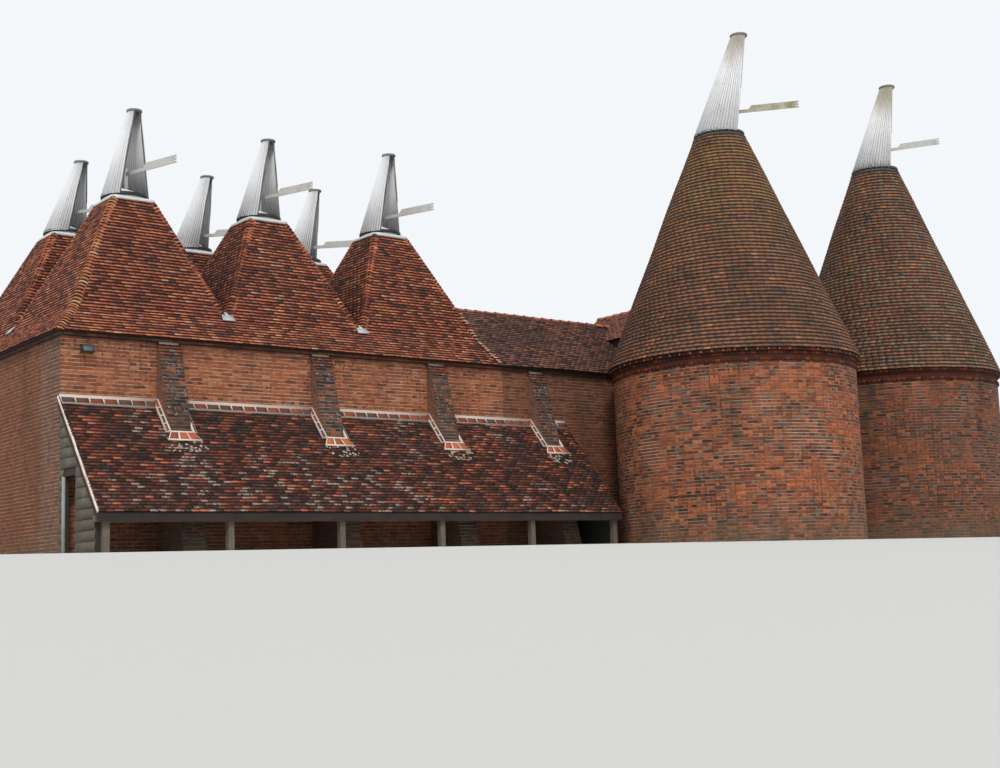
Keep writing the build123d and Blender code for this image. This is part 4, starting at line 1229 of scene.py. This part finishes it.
def cowl_boards(name, radii, height, lean, matrix, inside, number):
    """Long tapered boards on each flat of the cowl, cut along the slanting line of the mouth."""
    r, top_r = radii
    heap = Heap(400 + number + (50 if inside else 0))
    base, inset = TURN_GAP + RIM_H, RIM_OUT + (BOARD_T if inside else 0.0)
    low_r, high_r = r - inset, top_r - (BOARD_T if inside else 0.0)
    line_low, line_high = MOUTH_BASE * r, lean + MOUTH_TOP * top_r
    foot_z = base if inside else TURN_GAP + 0.022
    foot_r = low_r if inside else r - 0.002

    def ahead(p):
        return p[0] - line_low - (line_high - line_low) * (p[2] - base) / (height - base) + 0.001

    gap = 0.0035
    for k in range(SIDES):
        ends = []
        for far, z, x in ((foot_r, foot_z, 0.0), (high_r, height, lean)):
            ends.append([np.array((x + far * cos(a) / cos(pi / SIDES), far * sin(a) / cos(pi / SIDES), z))
                         for a in (2 * pi * (k - 0.5) / SIDES, 2 * pi * (k + 0.5) / SIDES)])
        (l0, l1), (h0, h1) = ends
        out = unit(np.cross(l1 - l0, h0 - l0)) * (-1 if inside else 1)
        for n in range(BOARDS_PER_SIDE):
            start, end = n / BOARDS_PER_SIDE, (n + 1) / BOARDS_PER_SIDE
            low_gap, high_gap = (gap / np.linalg.norm(q - p) for p, q in ((l0, l1), (h0, h1)))
            a, b = l0 + (l1 - l0) * (start + low_gap), l0 + (l1 - l0) * (end - low_gap)
            c, d = h0 + (h1 - h0) * (end - high_gap), h0 + (h1 - h0) * (start + high_gap)
            a, b = (p + (q - p) * 0.006 * heap.random.random() for p, q in ((a, d), (b, c)))
            outline = cut([a, b, c, d], ahead)
            if len(outline) < 3:
                continue
            thick = 0.005 if inside else heap.random.uniform(0.010, 0.014)
            outline = moved([p + out * 0.0005 for p in outline], matrix)
            heap.prism(outline, np.array(matrix)[:3, :3] @ out * thick)
    painted = {"round_near": "outer_near", "round_far": "outer_far"}.get(name, "outer_boards")
    heap.make(("inner_boards_" if inside else "boards_") + name, "cowl_" + name, "painted_boards",
              "inner_boards" if inside else painted)


def stock_and_sill(name, r, vane_z, matrix):
    """The upright stock behind the mouth, the mouth's sill and the rail between them."""
    heap = Heap(460)
    base = TURN_GAP + RIM_H
    mouth_x, rail_z = MOUTH_BASE * r, base + RAIL_H / 2
    sill_x, half_sill = mouth_x - RAIL_H / 2, (r - RIM_OUT - BOARD_T) * sqrt(1 - MOUTH_BASE ** 2) - 0.01
    stock, rail = STOCK + 0.008, RAIL_H + 0.008

    def bar(start, end, side, width, thick):
        heap.bar(moved(start, matrix), moved(end, matrix), np.array(matrix)[:3, :3] @ np.array(side, float),
                 width, thick)

    bar((0, 0, base + RAIL_H + 0.004), (0, 0, vane_z + STOCK_OVER + 0.004), (1, 0, 0), stock, stock)
    bar((sill_x, -half_sill, rail_z), (sill_x, half_sill, rail_z), (1, 0, 0), rail, rail)
    bar((0.06, 0, rail_z), (mouth_x - RAIL_H - 0.002, 0, rail_z), (0, 1, 0), stock, rail)
    heap.make("stock_" + name, "cowl_" + name, "painted_boards", "pale_frame")


def skirt_ring(half, corner, z, circle_r=None):
    """A level outline with rounded corners, or the circle that has a point for each of its points."""
    out = []
    for k in range(4):
        start = k * pi / 2
        middle = [(half - corner) * np.sign(way(start + pi / 4)) for way in (cos, sin)]
        for angle in start + np.linspace(0, pi / 2, 9):
            p = np.array((middle[0] + corner * cos(angle), middle[1] + corner * sin(angle)))
            if circle_r:
                p = unit(p) * circle_r
            out.append((p[0], p[1], z))
    return np.array(out)


def lead_skirt(name):
    """Sheet lead dressed down from the kerb's ring; on a square kiln it laps over the top tiles."""
    kerb = -KERB_TOP
    if name in ROUND_KILNS:
        ring, half = ROUND_COWL[0] - 0.022, CONE_TOP_R + 0.026
        corner, outer, outer_corner, drop = half - 0.001, half + 0.012, half + 0.010, 0.006
    else:
        ring, half = SQUARE_COWL[0] - 0.022, KERB_HALF + 0.045
        corner, outer, outer_corner, drop = 0.125, KERB_HALF + 0.078, 0.190, 0.042
    rings = [skirt_ring(half, corner, kerb + 0.070, ring - 0.012),
             skirt_ring(half, corner, kerb + 0.070, ring),
             skirt_ring(half, corner, kerb + 0.032),
             skirt_ring(half + 0.010, corner + 0.008, kerb + 0.018),
             skirt_ring(outer, outer_corner, kerb - drop),
             skirt_ring(outer - 0.010, outer_corner, kerb - drop - 0.004),
             skirt_ring(half - 0.004, corner, kerb - 0.003),
             skirt_ring(half - 0.020, corner, kerb + 0.016),
             skirt_ring(half, corner, kerb + 0.020, ring - 0.012)]
    place = np.array(kiln_axis[name])
    finish = "dark_lead" if name in ROUND_KILNS else "kerb_lead"
    ring_loft("lead_skirt_" + name, HOUSE, "lead", finish, [rows + place for rows in rings])


def dress_cowls():
    """Each cowl's boards, stock, rim and cap, and the lead under it."""
    for number, (name, own) in enumerate([*SQUARE_KILNS.items(), *ROUND_KILNS.items()]):
        height, lean, vane_z, turn = own
        r, top_r = ROUND_COWL if name in ROUND_KILNS else SQUARE_COWL
        body = "cowl_" + name
        matrix = Matrix.Translation(kiln_axis[name]) @ Matrix.Rotation(radians(turn), 4, "Z")
        for inside in (False, True):
            cowl_boards(name, (r, top_r), height, lean, matrix, inside, number)
        stock_and_sill(name, r, vane_z, matrix)
        rim_top = TURN_GAP + RIM_H + 0.006
        profile = [(r - 0.045, TURN_GAP), (r, TURN_GAP), (r + 0.005, TURN_GAP + 0.006),
                   (r + 0.004, rim_top), (r - 0.045, rim_top)]
        ring_loft("rim_" + name, body, "painted_boards", "iron", [moved(circle(*p), matrix) for p in profile])
        cap_at = matrix @ Matrix.Translation((lean, 0, height))
        profile = [(0.002, -0.002), (top_r + 0.028, -0.002), (top_r + 0.034, 0.010), (top_r + 0.030, 0.041),
                   (top_r * 0.5, 0.048), (0.002, 0.050)]
        ring_loft("cap_" + name, body, "painted_boards", "cap", [moved(circle(*p), cap_at) for p in profile])
        lead_skirt(name)


# Finishes of the solids that show

node_finish = {
    # The lean-to ends' near-black backing is painted shade.
    "lean_to_left_end": "shade_behind_boards", "lean_to_right_end": "shade_behind_boards", "lead_kerbs": "lead",
    "buttresses": "buttress_brick", "middle_beam": "timber", "valley_beams": "timber",
    "range_valley_beam": "timber", "lean_to_frame": "timber", "cowl_bearers": "timber",
    "wall_light": "lamp_case", "cross_roof": "shade", "round_near_corbel": "corbel_brick",
    "round_far_corbel": "corbel_brick",
}
for node, piece in nodes.items():
    if node.startswith("vane_"):
        finish = "mossy_vane" if node == "vane_round_near" else "vane_boards"
    elif node.startswith("cowl_") and node != "cowl_bearers":
        # Cowl shells show as painted shade in the gaps between the boards.
        finish = "shade_in_board_gaps"
    elif node in node_finish:
        finish = node_finish[node]
    elif node.startswith(("round_near", "round_far")) and not node.endswith("roof"):
        finish = "_".join(node.split("_")[:2]) + "_brick"
    elif node.startswith("range_") and node.endswith("wall"):
        finish = "range_brick"
    elif node.endswith("wall"):
        finish = "kiln_brick"
    else:
        # Near-black painted shade under the tiles.
        finish = "shade_under_tiles"
    piece.data.materials.clear()
    piece.data.materials.append(finishes[finish])

dress_square_kilns()
dress_range()
dress_round_kilns()
dress_lean_to()
dress_doorways()
dress_wall_light()
dress_cowls()


# Floor, light and camera

FLOOR_X, FLOOR_FRONT, FLOOR_BACK = (-90.0, 110.0), -60, 90.0
LEVEL_TO, BEND, BEND_LENGTH, FALL = -7.0, 0.0046, 30.0, 0.12
SKY_COLOUR, SKY_STRENGTH, BACKDROP_COLOUR = (0.94, 0.97, 1.0, 1), 0.78, (0.90, 0.93, 0.96, 1)
SUN_STRENGTH, SUN_SPREAD, SUN_COLOUR, SUN_TILT, SUN_TURN = 1.5, 12, (1.0, 0.97, 0.92), 44, -36
CAMERA_AT = (-10.0908, -26.1054, -0.5213)
CAMERA_YAW, CAMERA_PITCH, CAMERA_ROLL = 0.6717, 0.1379, -0.0361
FOCAL_PIXELS = 1404.16
IMAGE_WIDTH = 1000


def ground_level(y):
    """The floor is level under the building and falls away in front of it."""
    ahead = np.maximum(LEVEL_TO - y, 0.0)
    return -BEND * np.minimum(ahead, BEND_LENGTH) ** 2 - FALL * np.maximum(ahead - BEND_LENGTH, 0.0)


def build_floor():
    ys = np.concatenate([np.linspace(FLOOR_FRONT, -6, 60), [40.0, FLOOR_BACK]])
    points = [(x, y, float(ground_level(y))) for y in ys for x in FLOOR_X]
    faces = [(2 * i, 2 * i + 1, 2 * i + 3, 2 * i + 2) for i in range(len(ys) - 1)]
    mesh = bpy.data.meshes.new("floor")
    mesh.from_pydata(points, [], faces)
    floor = bpy.data.objects.new("floor", mesh)
    bpy.context.scene.collection.objects.link(floor)
    f = Finish("PaleFloor")
    mesh.materials.append(f.done((0.62, 0.62, 0.60, 1), 0.95, f.noise(8.0), 0.001))


def build_light():
    world = bpy.data.worlds.new("soft_sky")
    bpy.context.scene.world = world
    world.use_nodes = True
    sky = Nodes(world.node_tree)
    plain = sky.node("Background", {}, {"Color": SKY_COLOUR, "Strength": SKY_STRENGTH})
    seen = sky.node("Background", {}, {"Color": BACKDROP_COLOUR, "Strength": 1.0})
    camera_ray, glossy_ray = (sky.node("LightPath", out="Is %s Ray" % kind) for kind in ("Camera", "Glossy"))
    either = camera_ray.maths("MAXIMUM", glossy_ray)
    sky.node("OutputWorld", {}, {0: sky.node("MixShader", {}, {0: either, 1: plain, 2: seen})})
    lamp = bpy.data.lights.new("soft_sun", "SUN")
    lamp.energy = SUN_STRENGTH
    lamp.angle = radians(SUN_SPREAD)
    lamp.color = SUN_COLOUR
    sun = bpy.data.objects.new("soft_sun", lamp)
    sun.rotation_euler = (radians(SUN_TILT), 0, radians(SUN_TURN))
    bpy.context.scene.collection.objects.link(sun)


def build_camera():
    """The camera's own frame: it looks along its yaw and pitch and is rolled a little."""
    data = bpy.data.cameras.new("camera")
    data.sensor_width = 36
    data.lens = FOCAL_PIXELS * data.sensor_width / IMAGE_WIDTH
    data.clip_end = 500
    camera = bpy.data.objects.new("camera", data)
    bpy.context.scene.collection.objects.link(camera)
    flat = cos(CAMERA_PITCH)
    ahead = Vector((sin(CAMERA_YAW) * flat, cos(CAMERA_YAW) * flat, sin(CAMERA_PITCH)))
    level = Vector((cos(CAMERA_YAW), -sin(CAMERA_YAW), 0))
    upright = level.cross(ahead)
    right = level * cos(CAMERA_ROLL) + upright * sin(CAMERA_ROLL)
    up = upright * cos(CAMERA_ROLL) - level * sin(CAMERA_ROLL)
    turn = Matrix((right, up, -ahead)).transposed().to_4x4()
    camera.matrix_world = Matrix.Translation(CAMERA_AT) @ turn
    bpy.context.scene.camera = camera


build_floor()
build_light()
build_camera()
bpy.context.scene.view_settings.view_transform = "Standard"
